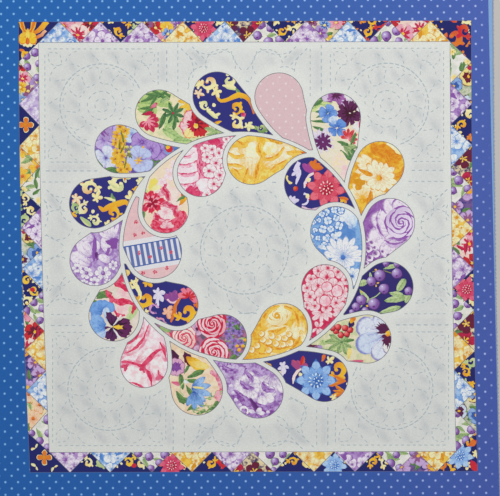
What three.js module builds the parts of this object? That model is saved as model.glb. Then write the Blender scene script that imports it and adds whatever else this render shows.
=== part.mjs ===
// Printed patchwork quilt panel: one flat cotton cloth, laid out face up.
// Millimetres, +Z up. +X runs to the loom edge on the right of the cloth,
// +Y to its top edge. The underside lies on z = 0.

import * as THREE from 'three';

// ---------------------------------------------------------------- sizes
const CLOTH_THICKNESS = 1.0;      // solid thickness of the laid cloth
// outer corners of the printed block's pieced frame, from the middle of the block: the
// cloth lies a little off square, its sides leaning to the right on their way down
const FRAME_TOP_LEFT = { x: -259.2, y: 252.5 };
const FRAME_TOP_RIGHT = { x: 249.4, y: 254.2 };
const FRAME_BOTTOM_RIGHT = { x: 256.1, y: -253.3 };
const FRAME_BOTTOM_LEFT = { x: -246.3, y: -253.3 };
// how far the sides curve towards -X midway between the corners
const BOW_LEFT = 3.3;
const BOW_RIGHT = 1.5;
// width of the dotted border outside the frame
const BORDER_LEFT = 38.2;
const BORDER_TOP = 36.0;
const BORDER_BOTTOM = 36.2;
const BORDER_RIGHT_TOP = 23.8;    // the plain strip along the loom edge included
const BORDER_RIGHT_BOTTOM = 25.4;

const CUT_WAVE = 0.55;            // how far a scissor-cut edge wanders
const LOOM_WAVE = 0.20;           // how far the loom edge wanders

const FRINGE_GAP = 0.3;           // between the cloth and the fringe comb
const FRINGE_SPINE = 0.8;         // width of the band the threads stand out from
const FRINGE_LENGTH = 1.7;        // free thread ends past the band
const FRINGE_UNEVEN = 0.6;        // how much shorter the shortest tuft is
const FRINGE_THICKNESS = 0.8;
const FRINGE_PITCH = 4.7;         // tuft to tuft along the edge
const FRINGE_TUFT = 2.9;          // width of a tuft at its root

const GRID = 36;                  // mesh steps along each side of the cloth

// Low swells where the cloth does not lie quite down. Their undersides lift off z = 0
// by the height given and come back to it smoothly.
// Their places are measured from the middle of the printed block.
const SWELLS = [
  { name: 'top left corner', x: -262, y: 262, long: 95, wide: 58, turn: -42, height: 1.1 },
  { name: 'upper border', x: 70, y: 262, long: 150, wide: 30, turn: 1, height: 0.7 },
  { name: 'left border', x: -276, y: -40, long: 130, wide: 34, turn: 89, height: 0.8 },
  { name: 'lower left field', x: -120, y: -165, long: 120, wide: 42, turn: 58, height: 0.5 },
  { name: 'right field', x: 168, y: 20, long: 120, wide: 40, turn: -68, height: 0.45 },
  { name: 'bottom border', x: 96, y: -276, long: 150, wide: 34, turn: -1, height: 0.8 },
];

// ------------------------------------------------------------- outline
// outer corners of the cloth, before the wander of its edges
const corner = (from, dx, dy) => new THREE.Vector2(from.x + dx, from.y + dy);
const cornerTopLeft = corner(FRAME_TOP_LEFT, -BORDER_LEFT, BORDER_TOP);
const cornerTopRight = corner(FRAME_TOP_RIGHT, BORDER_RIGHT_TOP, BORDER_TOP);
const cornerBottomRight = corner(FRAME_BOTTOM_RIGHT, BORDER_RIGHT_BOTTOM, -BORDER_BOTTOM);
const cornerBottomLeft = corner(FRAME_BOTTOM_LEFT, -BORDER_LEFT, -BORDER_BOTTOM);

// a slow wander that starts and ends at nothing, so that the corners stay where they are
function wander(t, size, phase) {
  const hold = Math.sin(Math.PI * t);
  return size * hold * (0.62 * Math.sin(5.3 * t + phase) + 0.38 * Math.sin(17.0 * t + 2.1 * phase));
}

// a point of the cloth, u from the left edge to the right, v from the bottom to the top
function clothPoint(u, v) {
  const bottom = cornerBottomLeft.clone().lerp(cornerBottomRight, u);
  const top = cornerTopLeft.clone().lerp(cornerTopRight, u);
  const p = bottom.lerp(top, v);
  p.x -= 4 * v * (1 - v) * ((1 - u) * BOW_LEFT + u * BOW_RIGHT);
  p.x += (1 - u) * wander(v, CUT_WAVE, 0.7) + u * wander(v, LOOM_WAVE, 1.9);
  p.y += (1 - v) * wander(u, CUT_WAVE, 2.6) + v * wander(u, CUT_WAVE, 4.1);
  return p;
}

// height of the underside over the surface
function lift(x, y) {
  let z = 0;
  for (const swell of SWELLS) {
    const turn = (swell.turn * Math.PI) / 180;
    const dx = x - swell.x;
    const dy = y - swell.y;
    const along = (dx * Math.cos(turn) + dy * Math.sin(turn)) / swell.long;
    const across = (-dx * Math.sin(turn) + dy * Math.cos(turn)) / swell.wide;
    const inside = Math.max(0, 1 - along * along - across * across);
    z += swell.height * inside * inside;
  }
  return z;
}

// --------------------------------------------------------------- cloth
function clothGeometry() {
  const row = GRID + 1;
  const layer = row * row;
  const position = new Float32Array(layer * 2 * 3);
  for (let j = 0; j < row; j++) {
    for (let i = 0; i < row; i++) {
      const p = clothPoint(i / GRID, j / GRID);
      const z = lift(p.x, p.y);
      const at = j * row + i;
      position.set([p.x, p.y, z], at * 3);
      position.set([p.x, p.y, z + CLOTH_THICKNESS], (layer + at) * 3);
    }
  }
  const index = [];
  for (let j = 0; j < GRID; j++) {
    for (let i = 0; i < GRID; i++) {
      const a = j * row + i;
      const b = a + 1;
      const c = a + row + 1;
      const d = a + row;
      index.push(a, c, b, a, d, c);                                             // underside
      index.push(layer + a, layer + b, layer + c, layer + a, layer + c, layer + d); // face
    }
  }
  // the cut edge all round, walked anticlockwise as seen from above
  const rim = [];
  for (let i = 0; i < GRID; i++) rim.push(i);
  for (let j = 0; j < GRID; j++) rim.push(j * row + GRID);
  for (let i = GRID; i > 0; i--) rim.push(GRID * row + i);
  for (let j = GRID; j > 0; j--) rim.push(j * row);
  rim.forEach((a, k) => {
    const b = rim[(k + 1) % rim.length];
    index.push(a, b, layer + b, a, layer + b, layer + a);
  });
  const geometry = new THREE.BufferGeometry();
  geometry.setAttribute('position', new THREE.BufferAttribute(position, 3));
  geometry.setIndex(index);
  geometry.computeVertexNormals();
  return geometry;
}

// -------------------------------------------------------------- fringe
// The loom leaves the ends of the cross threads standing out past its last lengthwise
// threads. Their tufts are one comb along the whole loom edge.
function fringeGeometry() {
  const height = cornerTopRight.y - cornerBottomRight.y;
  const count = Math.floor(height / FRINGE_PITCH);

  // stations up the edge: how far up, and how far the comb reaches out there
  const stations = [{ v: 0, reach: FRINGE_SPINE }];
  for (let k = 0; k < count; k++) {
    const start = (k + 0.5) / count - FRINGE_TUFT / 2 / height;
    const width = FRINGE_TUFT / height;
    const reach = FRINGE_SPINE + FRINGE_LENGTH
      - FRINGE_UNEVEN * (0.5 + 0.5 * Math.sin(2.4 * k) * Math.cos(0.71 * k));
    stations.push({ v: start, reach: FRINGE_SPINE });
    stations.push({ v: start + 0.28 * width, reach });
    stations.push({ v: start + 0.72 * width, reach: reach - 0.15 });
    stations.push({ v: start + width, reach: FRINGE_SPINE });
  }
  stations.push({ v: 1, reach: FRINGE_SPINE });

  // four corners at each station: inner low, outer low, outer high, inner high
  const position = [];
  for (const { v, reach } of stations) {
    const p = clothPoint(1, v);
    const inner = p.x + FRINGE_GAP;
    const outer = inner + reach;
    position.push(inner, p.y, 0, outer, p.y, 0, outer, p.y, FRINGE_THICKNESS, inner, p.y, FRINGE_THICKNESS);
  }
  const index = [];
  for (let k = 0; k + 1 < stations.length; k++) {
    for (let side = 0; side < 4; side++) {
      const a = 4 * k + side;
      const b = 4 * k + ((side + 1) % 4);
      index.push(a, b + 4, b, a, a + 4, b + 4);
    }
  }
  const last = 4 * (stations.length - 1);
  index.push(0, 1, 2, 0, 2, 3, last, last + 2, last + 1, last, last + 3, last + 2);

  const geometry = new THREE.BufferGeometry();
  geometry.setAttribute('position', new THREE.BufferAttribute(new Float32Array(position), 3));
  geometry.setIndex(index);
  geometry.computeVertexNormals();
  return geometry;
}

// ------------------------------------------------------------ materials
const cotton = new THREE.MeshStandardMaterial({ color: 0xcfd3d2, roughness: 0.92, metalness: 0 });
cotton.name = 'printed_cotton';
const thread = new THREE.MeshStandardMaterial({ color: 0x93aecb, roughness: 0.95, metalness: 0 });
thread.name = 'loom_edge_thread';

// ----------------------------------------------------------- the object
const quiltPanel = new THREE.Mesh(clothGeometry(), cotton);
quiltPanel.name = 'quilt_panel';

const selvedgeFringe = new THREE.Mesh(fringeGeometry(), thread);
selvedgeFringe.name = 'selvedge_fringe';

const panel = new THREE.Group();
panel.name = 'printed_quilt_panel';
panel.add(quiltPanel, selvedgeFringe);

// the origin is the middle of the laid cloth's box, on the surface it lies on
const box = new THREE.Box3().setFromObject(panel);
panel.position.set(-(box.min.x + box.max.x) / 2, -(box.min.y + box.max.y) / 2, 0);

export default panel;
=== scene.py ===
# Printed patchwork quilt panel: one cotton cloth lying face up, with a feathered wreath,
# a zigzag border of pieced triangles, printed quilting and a dotted blue edge.
import math
import bpy
import numpy as np
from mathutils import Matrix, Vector
from mathutils.bvhtree import BVHTree
from mathutils.geometry import delaunay_2d_cdt


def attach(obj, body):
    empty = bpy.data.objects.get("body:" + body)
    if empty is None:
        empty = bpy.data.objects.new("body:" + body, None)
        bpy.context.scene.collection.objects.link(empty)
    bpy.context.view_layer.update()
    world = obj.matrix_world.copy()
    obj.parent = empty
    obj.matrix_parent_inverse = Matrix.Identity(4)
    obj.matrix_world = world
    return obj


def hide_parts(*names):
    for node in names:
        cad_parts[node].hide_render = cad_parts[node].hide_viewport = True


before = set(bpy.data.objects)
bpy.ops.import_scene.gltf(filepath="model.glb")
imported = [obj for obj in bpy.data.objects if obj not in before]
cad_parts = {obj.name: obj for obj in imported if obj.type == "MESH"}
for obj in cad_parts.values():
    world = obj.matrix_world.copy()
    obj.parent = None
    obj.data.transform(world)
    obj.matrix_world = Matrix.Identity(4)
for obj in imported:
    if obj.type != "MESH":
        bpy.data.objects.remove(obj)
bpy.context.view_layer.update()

# ------------------------------------------------------------------ layout
# The print is drawn in design units, 1.124 mm each, x to the right and y down.
UNIT = 1.124
MID = (249.125, 246.625)         # the middle of the printed block, in design units
SHIFT = (6.7432, -0.1205)        # from the middle of the block to the frame's origin, in mm
THICK = 0.45                     # of the cloth itself, mm

FRAME_TL, FRAME_TR = (-259.2, 252.5), (249.4, 254.2)
FRAME_BR, FRAME_BL = (256.1, -253.3), (-246.3, -253.3)
BOW_LEFT, BOW_RIGHT = 3.3, 1.5
EDGE_LEFT, EDGE_TOP, EDGE_BOTTOM, EDGE_RIGHT_TOP, EDGE_RIGHT_BOTTOM = 38.2, 36.0, 36.2, 23.8, 25.4
CUT_WAVE, LOOM_WAVE = 0.55, 0.20
SWELLS = [(-262, 262, 95, 58, -42, 1.1), (70, 262, 150, 30, 1, 0.7), (-276, -40, 130, 34, 89, 0.8),
          (-120, -165, 120, 42, 58, 0.5), (168, 20, 120, 40, -68, 0.45), (96, -276, 150, 34, -1, 0.8)]


def wander(t, size, phase):
    return size * np.sin(np.pi * t) * (0.62 * np.sin(5.3 * t + phase) + 0.38 * np.sin(17.0 * t + 2.1 * phase))


def cloth_point(u, v):
    """a point of the cloth in mm from the middle of the block, u left to right, v bottom to top"""
    u, v = np.asarray(u, float), np.asarray(v, float)
    bl = np.array([FRAME_BL[0] - EDGE_LEFT, FRAME_BL[1] - EDGE_BOTTOM])
    br = np.array([FRAME_BR[0] + EDGE_RIGHT_BOTTOM, FRAME_BR[1] - EDGE_BOTTOM])
    tl = np.array([FRAME_TL[0] - EDGE_LEFT, FRAME_TL[1] + EDGE_TOP])
    tr = np.array([FRAME_TR[0] + EDGE_RIGHT_TOP, FRAME_TR[1] + EDGE_TOP])
    bottom = bl + (br - bl) * u[..., None]
    top = tl + (tr - tl) * u[..., None]
    p = bottom + (top - bottom) * v[..., None]
    x = p[..., 0] - 4 * v * (1 - v) * ((1 - u) * BOW_LEFT + u * BOW_RIGHT)
    x = x + (1 - u) * wander(v, CUT_WAVE, 0.7) + u * wander(v, LOOM_WAVE, 1.9)
    y = p[..., 1] + (1 - v) * wander(u, CUT_WAVE, 2.6) + v * wander(u, CUT_WAVE, 4.1)
    return np.stack([x, y], -1)


def lift(x, y):
    z = np.zeros_like(x)
    for sx, sy, long, wide, turn, height in SWELLS:
        t = math.radians(turn)
        a = ((x - sx) * math.cos(t) + (y - sy) * math.sin(t)) / long
        b = (-(x - sx) * math.sin(t) + (y - sy) * math.cos(t)) / wide
        z = z + height * np.maximum(0, 1 - a * a - b * b) ** 2
    return z


def to_design(p):
    return np.stack([p[..., 0] / UNIT + MID[0], MID[1] - p[..., 1] / UNIT], -1)


def to_mm(p):
    return np.stack([(p[..., 0] - MID[0]) * UNIT, (MID[1] - p[..., 1]) * UNIT], -1)


# ------------------------------------------------------------------ colours
LIGHT = 0.80                     # how much of the light a white surface gives back to the camera here


def ink(c):
    """the dye's reflectance for a colour as it should look, 0 to 255"""
    c = np.asarray(c, float) / 255
    lin = np.where(c <= 0.04045, c / 12.92, ((c + 0.055) / 1.055) ** 2.4)
    return np.minimum(lin / LIGHT, 0.93)


COL = dict(
    navy=(43, 43, 116), navy2=(34, 34, 88), navyd=(27, 32, 96), cream=(228, 218, 164), gold=(224, 176, 44), orange=(208, 112, 40),
    pgreen=(166, 186, 128), green=(106, 142, 80), dgreen=(52, 94, 66), olive=(138, 138, 58),
    lav=(164, 142, 190), purple=(126, 72, 150), dpurple=(96, 44, 112), plum=(84, 32, 72),
    crimson=(184, 34, 72), red=(192, 40, 48), rose=(204, 96, 126), pink=(216, 158, 176),
    palepink=(222, 190, 198), blush=(224, 206, 200), peach=(224, 196, 166),
    sky=(136, 166, 210), blue=(84, 126, 190), dblue=(52, 86, 158), ice=(194, 208, 222),
    white=(218, 217, 214), yellow=(224, 188, 66), lemon=(224, 208, 132), butter=(222, 214, 172),
    amber=(202, 138, 28), maroon=(100, 24, 46), black=(46, 34, 48), mauve=(138, 84, 128))

# kinds of painting, read by the cloth's material
WASH, PETAL, DOTS, STRIPE, SWIRL, BLOT, BERRY, RAGGED, LEAF, LINED = range(10)
LINE = (104, 104, 116)           # the thin printed line round each pieced shape


def sway(points):
    """the hand-drawn unevenness of the printing"""
    p = np.asarray(points, float)
    x, y = p[:, 0], p[:, 1]
    return p + np.stack([0.30 * np.sin(0.93 * x + 1.3 * np.sin(0.61 * y)) + 0.15 * np.sin(1.7 * y + 0.5 * x),
                         0.30 * np.sin(0.89 * y + 1.3 * np.sin(0.67 * x) + 2.0) + 0.15 * np.sin(1.6 * x - 0.4 * y + 1.0)], 1)


class Print:
    """Painted shapes in order, later ones over earlier ones."""
    paints = []                  # kind, colour A, colour B, 2x3 map from design units to (u, v)

    def __init__(self):
        self.shapes = []

    def paint(self, kind, a, b, m=None):
        a = COL[a] if isinstance(a, str) else a
        b = COL[b] if isinstance(b, str) else b
        m = np.zeros((2, 3)) if m is None else m
        Print.paints.append((kind, ink(a), ink(b), m))
        return len(Print.paints) - 1

    def add(self, points, kind, a, b, m=None):
        self.shapes.append((sway(points), self.paint(kind, a, b, m)))


def turned(p, q, x, y, a):
    c, s = math.cos(a), math.sin(a)
    return np.stack([x + p * c - q * s, y + p * s + q * c], -1)


def local(x, y, a, sp, sq):
    """map to (u, v) = (across / sq, along / sp) for a shape at x, y turned by a"""
    c, s = math.cos(a), math.sin(a)
    return np.array([[-s / sq, c / sq, (x * s - y * c) / sq], [c / sp, s / sp, -(x * c + y * s) / sp]])


def petal(c, x, y, deg, long, wide, a, b, kind=PETAL, point=0.0, neck=0.3, n=11, ragged=0.0):
    """a petal from x, y outwards; wide is its half width"""
    n = max(n, min(18, int(0.8 * long) + 5))
    f = (np.arange(n) + 0.5) * 2 * np.pi / n
    p = 0.5 - 0.5 * np.cos(f)
    q = np.sign(np.sin(f)) * np.abs(np.sin(f)) ** (1 + point) * (neck + (1 - neck) * p ** 0.8)
    if ragged:
        k = 1 + ragged * np.sin(7.3 * f + x + 2 * y)
        p, q = 0.5 + (p - 0.5) * k, q * k
    if point:
        p = p * (1 + 0.10 * point * p ** 4)
    t = math.radians(deg)
    c.add(turned(p * long, q * wide, x, y, t), kind, a, b, local(x, y, t, long, wide))


def disc(c, x, y, r, a, b, kind=WASH, n=9, stretch=1.0, deg=0.0):
    f = np.arange(n) * 2 * np.pi / n + 0.3
    t = math.radians(deg)
    c.add(turned(np.cos(f) * r * stretch, np.sin(f) * r, x, y, t), kind, a, b, local(x, y, t, r * stretch, r))


def blob(c, x, y, r, a, b, kind=BLOT, n=13, stretch=1.0, deg=0.0, rough=0.16, seed=0.0):
    f = np.arange(n) * 2 * np.pi / n
    k = 1 + rough * (np.sin(3 * f + seed) + 0.6 * np.sin(5 * f + 2.3 * seed + 1))
    t = math.radians(deg)
    c.add(turned(np.cos(f) * r * stretch * k, np.sin(f) * r * k, x, y, t), kind, a, b,
          local(x, y, t, r * stretch, r))


def flower(c, x, y, r, n, a, b, deg=0.0, wide=0.5, point=0.0, eye=None, eye_r=0.16, start=0.08, neck=0.3,
           kind=PETAL, m=11, uneven=0.08, ragged=0.0):
    for k in range(n):
        t = deg + 360.0 * k / n + 8 * uneven * 10 * math.sin(2.3 * k + x)
        L = r * (1 - start) * (1 + uneven * math.sin(1.7 * k + y))
        w = r * wide * (1 + uneven * math.cos(2.9 * k + x))
        tr = math.radians(t)
        petal(c, x + start * r * math.cos(tr), y + start * r * math.sin(tr), t, L, w, a, b, kind, point, neck, m, ragged)
    if eye:
        disc(c, x, y, max(0.7, r * eye_r), eye, eye, n=8)


def daisy(c, x, y, r, n, a, b, eye="gold", deg=0.0):
    flower(c, x, y, r, n, a, b, deg, wide=min(0.5, 2.3 / n), point=0.25, eye=eye, eye_r=0.2, neck=0.35, m=9)


def leaf(c, x, y, deg, long, wide, a="green", b="dgreen", point=0.35):
    petal(c, x, y, deg, long, wide, a, b, LEAF, point, 0.45, 10)


def spray(c, x, y, deg, long, n=5, a="green", b="dgreen", size=4.2):
    """a stem with small leaves on both sides"""
    t = math.radians(deg)
    dx, dy = math.cos(t), math.sin(t)
    stroke(c, [(x, y), (x + dx * long * 0.5 - dy * 0.6, y + dy * long * 0.5 + dx * 0.6), (x + dx * long, y + dy * long)],
           0.45, 0.3, b, b)
    for k in range(n):
        s = (k + 0.6) / n
        side = -1 if k % 2 else 1
        leaf(c, x + dx * long * s, y + dy * long * s, deg + side * (38 + 6 * math.sin(k)), size * (1.1 - 0.3 * s), size * 0.26, a, b)
    leaf(c, x + dx * long, y + dy * long, deg, size, size * 0.26, a, b)


def ribbon(c, pts, w, a, b, kind=WASH, m=None):
    """a band along points, w its half width at each of them"""
    p = np.asarray(pts, float)
    d = np.gradient(p, axis=0)
    d /= np.maximum(np.hypot(d[:, 0], d[:, 1]), 1e-9)[:, None]
    nrm = np.stack([-d[:, 1], d[:, 0]], 1)
    w = np.broadcast_to(np.asarray(w, float), (len(p),))[:, None]
    c.add(np.vstack([p + nrm * w, (p - nrm * w)[::-1]]), kind, a, b, m)


def stroke(c, pts, w0, w1, a, b, kind=WASH, m=None, bulge=0.0):
    """a brush stroke along points, half width from w0 to w1"""
    s = np.linspace(0, 1, len(pts))
    ribbon(c, pts, w0 + (w1 - w0) * s + bulge * np.sin(np.pi * s), a, b, kind, m)


def curve(pts, n=9):
    """a smooth line through a few points"""
    p = np.asarray(pts, float)
    k = np.linspace(0, len(p) - 1, n)
    i = np.minimum(k.astype(int), len(p) - 2)
    t = (k - i)[:, None]
    q = np.vstack([2 * p[0] - p[1], p, 2 * p[-1] - p[-2]])
    a, b, d, e = q[i], q[i + 1], q[i + 2], q[i + 3]
    return 0.5 * (2 * b + (d - a) * t + (2 * a - 5 * b + 4 * d - e) * t ** 2 + (3 * b - a - 3 * d + e) * t ** 3)


def ramp(x, y, deg, r, start=0.3):
    """colour running from a to b across a shape of radius r"""
    t = math.radians(deg)
    cx, cy = math.cos(t) / (2.2 * r), math.sin(t) / (2.2 * r)
    return np.array([[cx, cy, start - x * cx - y * cy], [0, 0, 0]])


def scroll(c, x, y, deg, r, flip=1, a="cream", b="gold", leaves=2, stem=1.0):
    """a plump leaf scroll: a round inner end, a swelling body and a three-pointed foot"""
    s = np.linspace(0, 1, 14)
    t = math.radians(deg) + flip * math.radians(325) * s ** 0.9
    rad = r * (0.26 + 0.72 * s)
    p = np.stack([x + rad * np.cos(t), y + rad * np.sin(t)], 1)
    for k in (8, 11)[:leaves]:
        out = math.degrees(math.atan2(p[k][1] - y, p[k][0] - x))
        petal(c, p[k][0], p[k][1], out - 36 * flip, r * 0.74, r * 0.27, a, b, WASH, 0.25, 0.6, 8)
    d0 = math.degrees(math.atan2(p[-1][1] - p[-2][1], p[-1][0] - p[-2][0]))
    for turn, long in ((-48, 0.72), (48, 0.72), (0, 0.98)):
        petal(c, p[-1][0], p[-1][1], d0 + turn, r * long * stem, r * 0.26, a, b, WASH, 0.3, 0.6, 8)
    ribbon(c, p, r * (0.15 + 0.21 * np.sin(np.pi * s) ** 1.3), a, b, WASH, ramp(x, y, deg + 60 * flip, r))
    disc(c, p[0][0], p[0][1], r * 0.25, a, b, n=8)


def star(c, x, y, r, deg=0.0, a="cream", b="gold"):
    """an open bud with five pointed leaves"""
    for t, long, wide in ((150, 0.6, 0.24), (-150, 0.6, 0.24), (64, 0.82, 0.30), (-64, 0.82, 0.30), (0, 1.05, 0.34)):
        petal(c, x, y, deg + t, r * long, r * wide, a, b, WASH, 0.3, 0.6, 8)


def pearl(c, x, y, r=1.2, a="cream"):
    disc(c, x, y, r, a, "butter", n=8)


def rose(c, x, y, r, light="blush", dark="crimson", deg=0.0, rings=4, open_=1.0):
    """a full rose: curled petals seen as light crescents over a deep ground"""
    blob(c, x, y, r, dark, dark, WASH, 18, rough=0.04, seed=deg)
    for j, (R, n, w) in enumerate(((0.85, 4, 0.155), (0.60, 3, 0.120), (0.39, 3, 0.090), (0.21, 2, 0.065))[:rings]):
        for k in range(n):
            s = np.linspace(-1, 1, 11)
            t = np.radians(deg + 360.0 * k / n + 37 * j + (196.0 / n) * s)
            rr = r * (R * (1 - 0.07 * s * s) + 0.075 * s)
            wid = r * w * open_ * np.sqrt(np.maximum(1 - s * s, 0.02)) * (1 + 0.12 * math.sin(3 * k + j))
            q = np.radians(deg + 25)
            m = np.array([[math.cos(q) / (3.2 * r), math.sin(q) / (3.2 * r), 0.06 - (x * math.cos(q) + y * math.sin(q)) / (3.2 * r)], [0, 0, 0]])
            ribbon(c, np.stack([x + rr * np.cos(t), y + rr * np.sin(t)], 1), wid, light, dark, WASH, m)
    disc(c, x, y, r * 0.09, light, dark, n=6)


def lines(c, rows, deep, soft=None, fade=None):
    """brushed lines in a darker tone, each with a paler edge beside it"""
    for edge in (True, False):
        for pts, w in rows:
            p = curve(pts, max(9, 4 * len(pts)))
            s = np.linspace(0, 1, len(p))
            body = np.sin(np.pi * (0.06 + 0.88 * s)) ** 0.6
            if edge and soft is not None:
                ribbon(c, p + (0.4, 1.1), 2.3 * w * body, soft, deep if fade is None else fade, BLOT)
            elif not edge:
                ribbon(c, p, 0.85 * w * body * (1 + 0.30 * np.sin(9 * s + pts[0][0])), deep, deep if soft is None else soft, BLOT)


def pansy(c, x, y, r, a="ice", b="plum", deg=90.0, eye="gold"):
    """two back petals, two side petals and a wide lower one, blotched at the middle"""
    for t, long, wide in ((-142, 0.98, 0.60), (-38, 0.98, 0.60), (-182, 0.88, 0.52), (2, 0.88, 0.52), (90, 0.94, 0.70)):
        petal(c, x, y, deg - 90 + t, r * long, r * wide, a, b, LINED, 0, 0.45, 14)
    for t, long, wide in ((-150, 0.5, 0.30), (-30, 0.5, 0.30), (170, 0.55, 0.24), (10, 0.55, 0.24), (90, 0.62, 0.34)):
        petal(c, x, y, deg - 90 + t, r * long, r * wide, b, b, WASH, 0.2, 0.5, 12, ragged=0.22)
    disc(c, x, y, r * 0.15, eye, eye, n=7)


def berry(c, x, y, r, a="lav", b="purple"):
    disc(c, x, y, r, (78, 44, 104), (78, 44, 104), n=12)
    disc(c, x - 0.04 * r, y - 0.04 * r, r * 0.90, b, a, BERRY, n=12)
    disc(c, x - 0.05 * r, y + 0.45 * r, r * 0.20, "dpurple", "dpurple", n=6)
    disc(c, x - 0.35 * r, y - 0.40 * r, r * 0.16, "ice", "ice", n=5)


def lotus(c, x, y, r, a, b, deg=0.0, dots="white", pale=None):
    """pointed petals in two rows round a ring of stamens"""
    pale = a if pale is None else pale
    for k in range(8):
        t = math.radians(deg + 45 * k)
        petal(c, x + 0.30 * r * math.cos(t), y + 0.30 * r * math.sin(t), deg + 45 * k, r * 0.76, r * 0.275, pale, b, LINED, 1.15, 0.62, 13)
    for k in range(8):
        t = math.radians(deg + 22.5 + 45 * k)
        petal(c, x + 0.22 * r * math.cos(t), y + 0.22 * r * math.sin(t), deg + 22.5 + 45 * k, r * 0.52, r * 0.20, a, b, LINED, 0.9, 0.6, 11)
    disc(c, x, y, r * 0.40, b, a, BERRY, n=14)
    for k in range(11):
        t = math.radians(deg + 360 / 11 * k)
        petal(c, x + 0.26 * r * math.cos(t), y + 0.26 * r * math.sin(t), math.degrees(t), r * 0.14, r * 0.036, dots, dots, WASH, 0, 0.9, 6)
    disc(c, x, y, r * 0.20, b, b, n=10)
    for k in range(5):
        t = math.radians(deg + 72 * k + 20)
        disc(c, x + r * 0.13 * math.cos(t), y + r * 0.13 * math.sin(t), r * 0.045, dots, dots, n=5)


def scatter(x0, y0, x1, y1, pitch, rng, jitter=0.22):
    out, row, y = [], 0, y0
    while y <= y1:
        x = x0 + (row % 2) * pitch / 2
        while x <= x1:
            out.append((x + rng.uniform(-1, 1) * jitter * pitch, y + rng.uniform(-1, 1) * jitter * pitch))
            x += pitch
        y += pitch * 0.87
        row += 1
    return out


def navy_print(c, box, seed, tones=("cream", "gold", "cream", "pgreen"), accent="orange", pitch=14.4, r=6.3, pearls=True):
    """scrolls, buds and pearls on navy"""
    rng = np.random.default_rng(seed)
    shades = {"gold": accent, "cream": "gold", "pgreen": "cream", "green": "pgreen", "orange": "gold", "red": "orange", "yellow": "gold"}
    for k, (x, y) in enumerate(scatter(*box, pitch, rng, 0.08)):
        deg = rng.uniform(0, 360)
        tone = tones[(k + k // 4) % len(tones)]
        to = shades[tone]
        if k % 3 == 0:
            scroll(c, x, y, deg, r, 1 if k % 2 else -1, tone, to)
        elif k % 3 == 1:
            star(c, x, y, r * 1.02, deg, tone, to)
        else:
            scroll(c, x, y, deg, r * 0.84, -1 if k % 2 else 1, tone, to, leaves=1, stem=1.2)
        if pearls and k % 2 == 0:
            pearl(c, x + pitch * 0.5, y + rng.uniform(-1, 1), 0.20 * r)


def tonal(c, blooms, light, mid, dark, seed=0, small=(), petals=6, kind=PETAL, wide=0.52):
    """large watery blossoms in one colour; blooms are (x, y, r), small are little ones"""
    for k, (x, y, r) in enumerate(blooms):
        flower(c, x, y, r, petals + k % 2, light, dark, 40 * k + seed * 17, wide=wide, uneven=0.16, start=0.03,
               neck=0.45, m=12, ragged=0.07, kind=kind)
        disc(c, x, y, r * 0.15, mid, dark, BERRY, n=8)
    for k, (x, y, r) in enumerate(small):
        flower(c, x, y, r, 5, light, dark, 31 * k, wide=0.5, uneven=0.05, m=8)
        disc(c, x, y, r * 0.2, dark, dark, n=6)


def fan(c, x, y, dirs, long, wide, a, b, kind=PETAL, point=0.15, neck=0.4, ragged=0.06):
    """petals from one place in the directions given"""
    for k, d in enumerate(dirs):
        petal(c, x, y, d, long * (1 + 0.10 * math.sin(2.2 * k + x)), wide * (1 + 0.12 * math.cos(1.9 * k)), a, b, kind, point, neck, 12, ragged)


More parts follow.
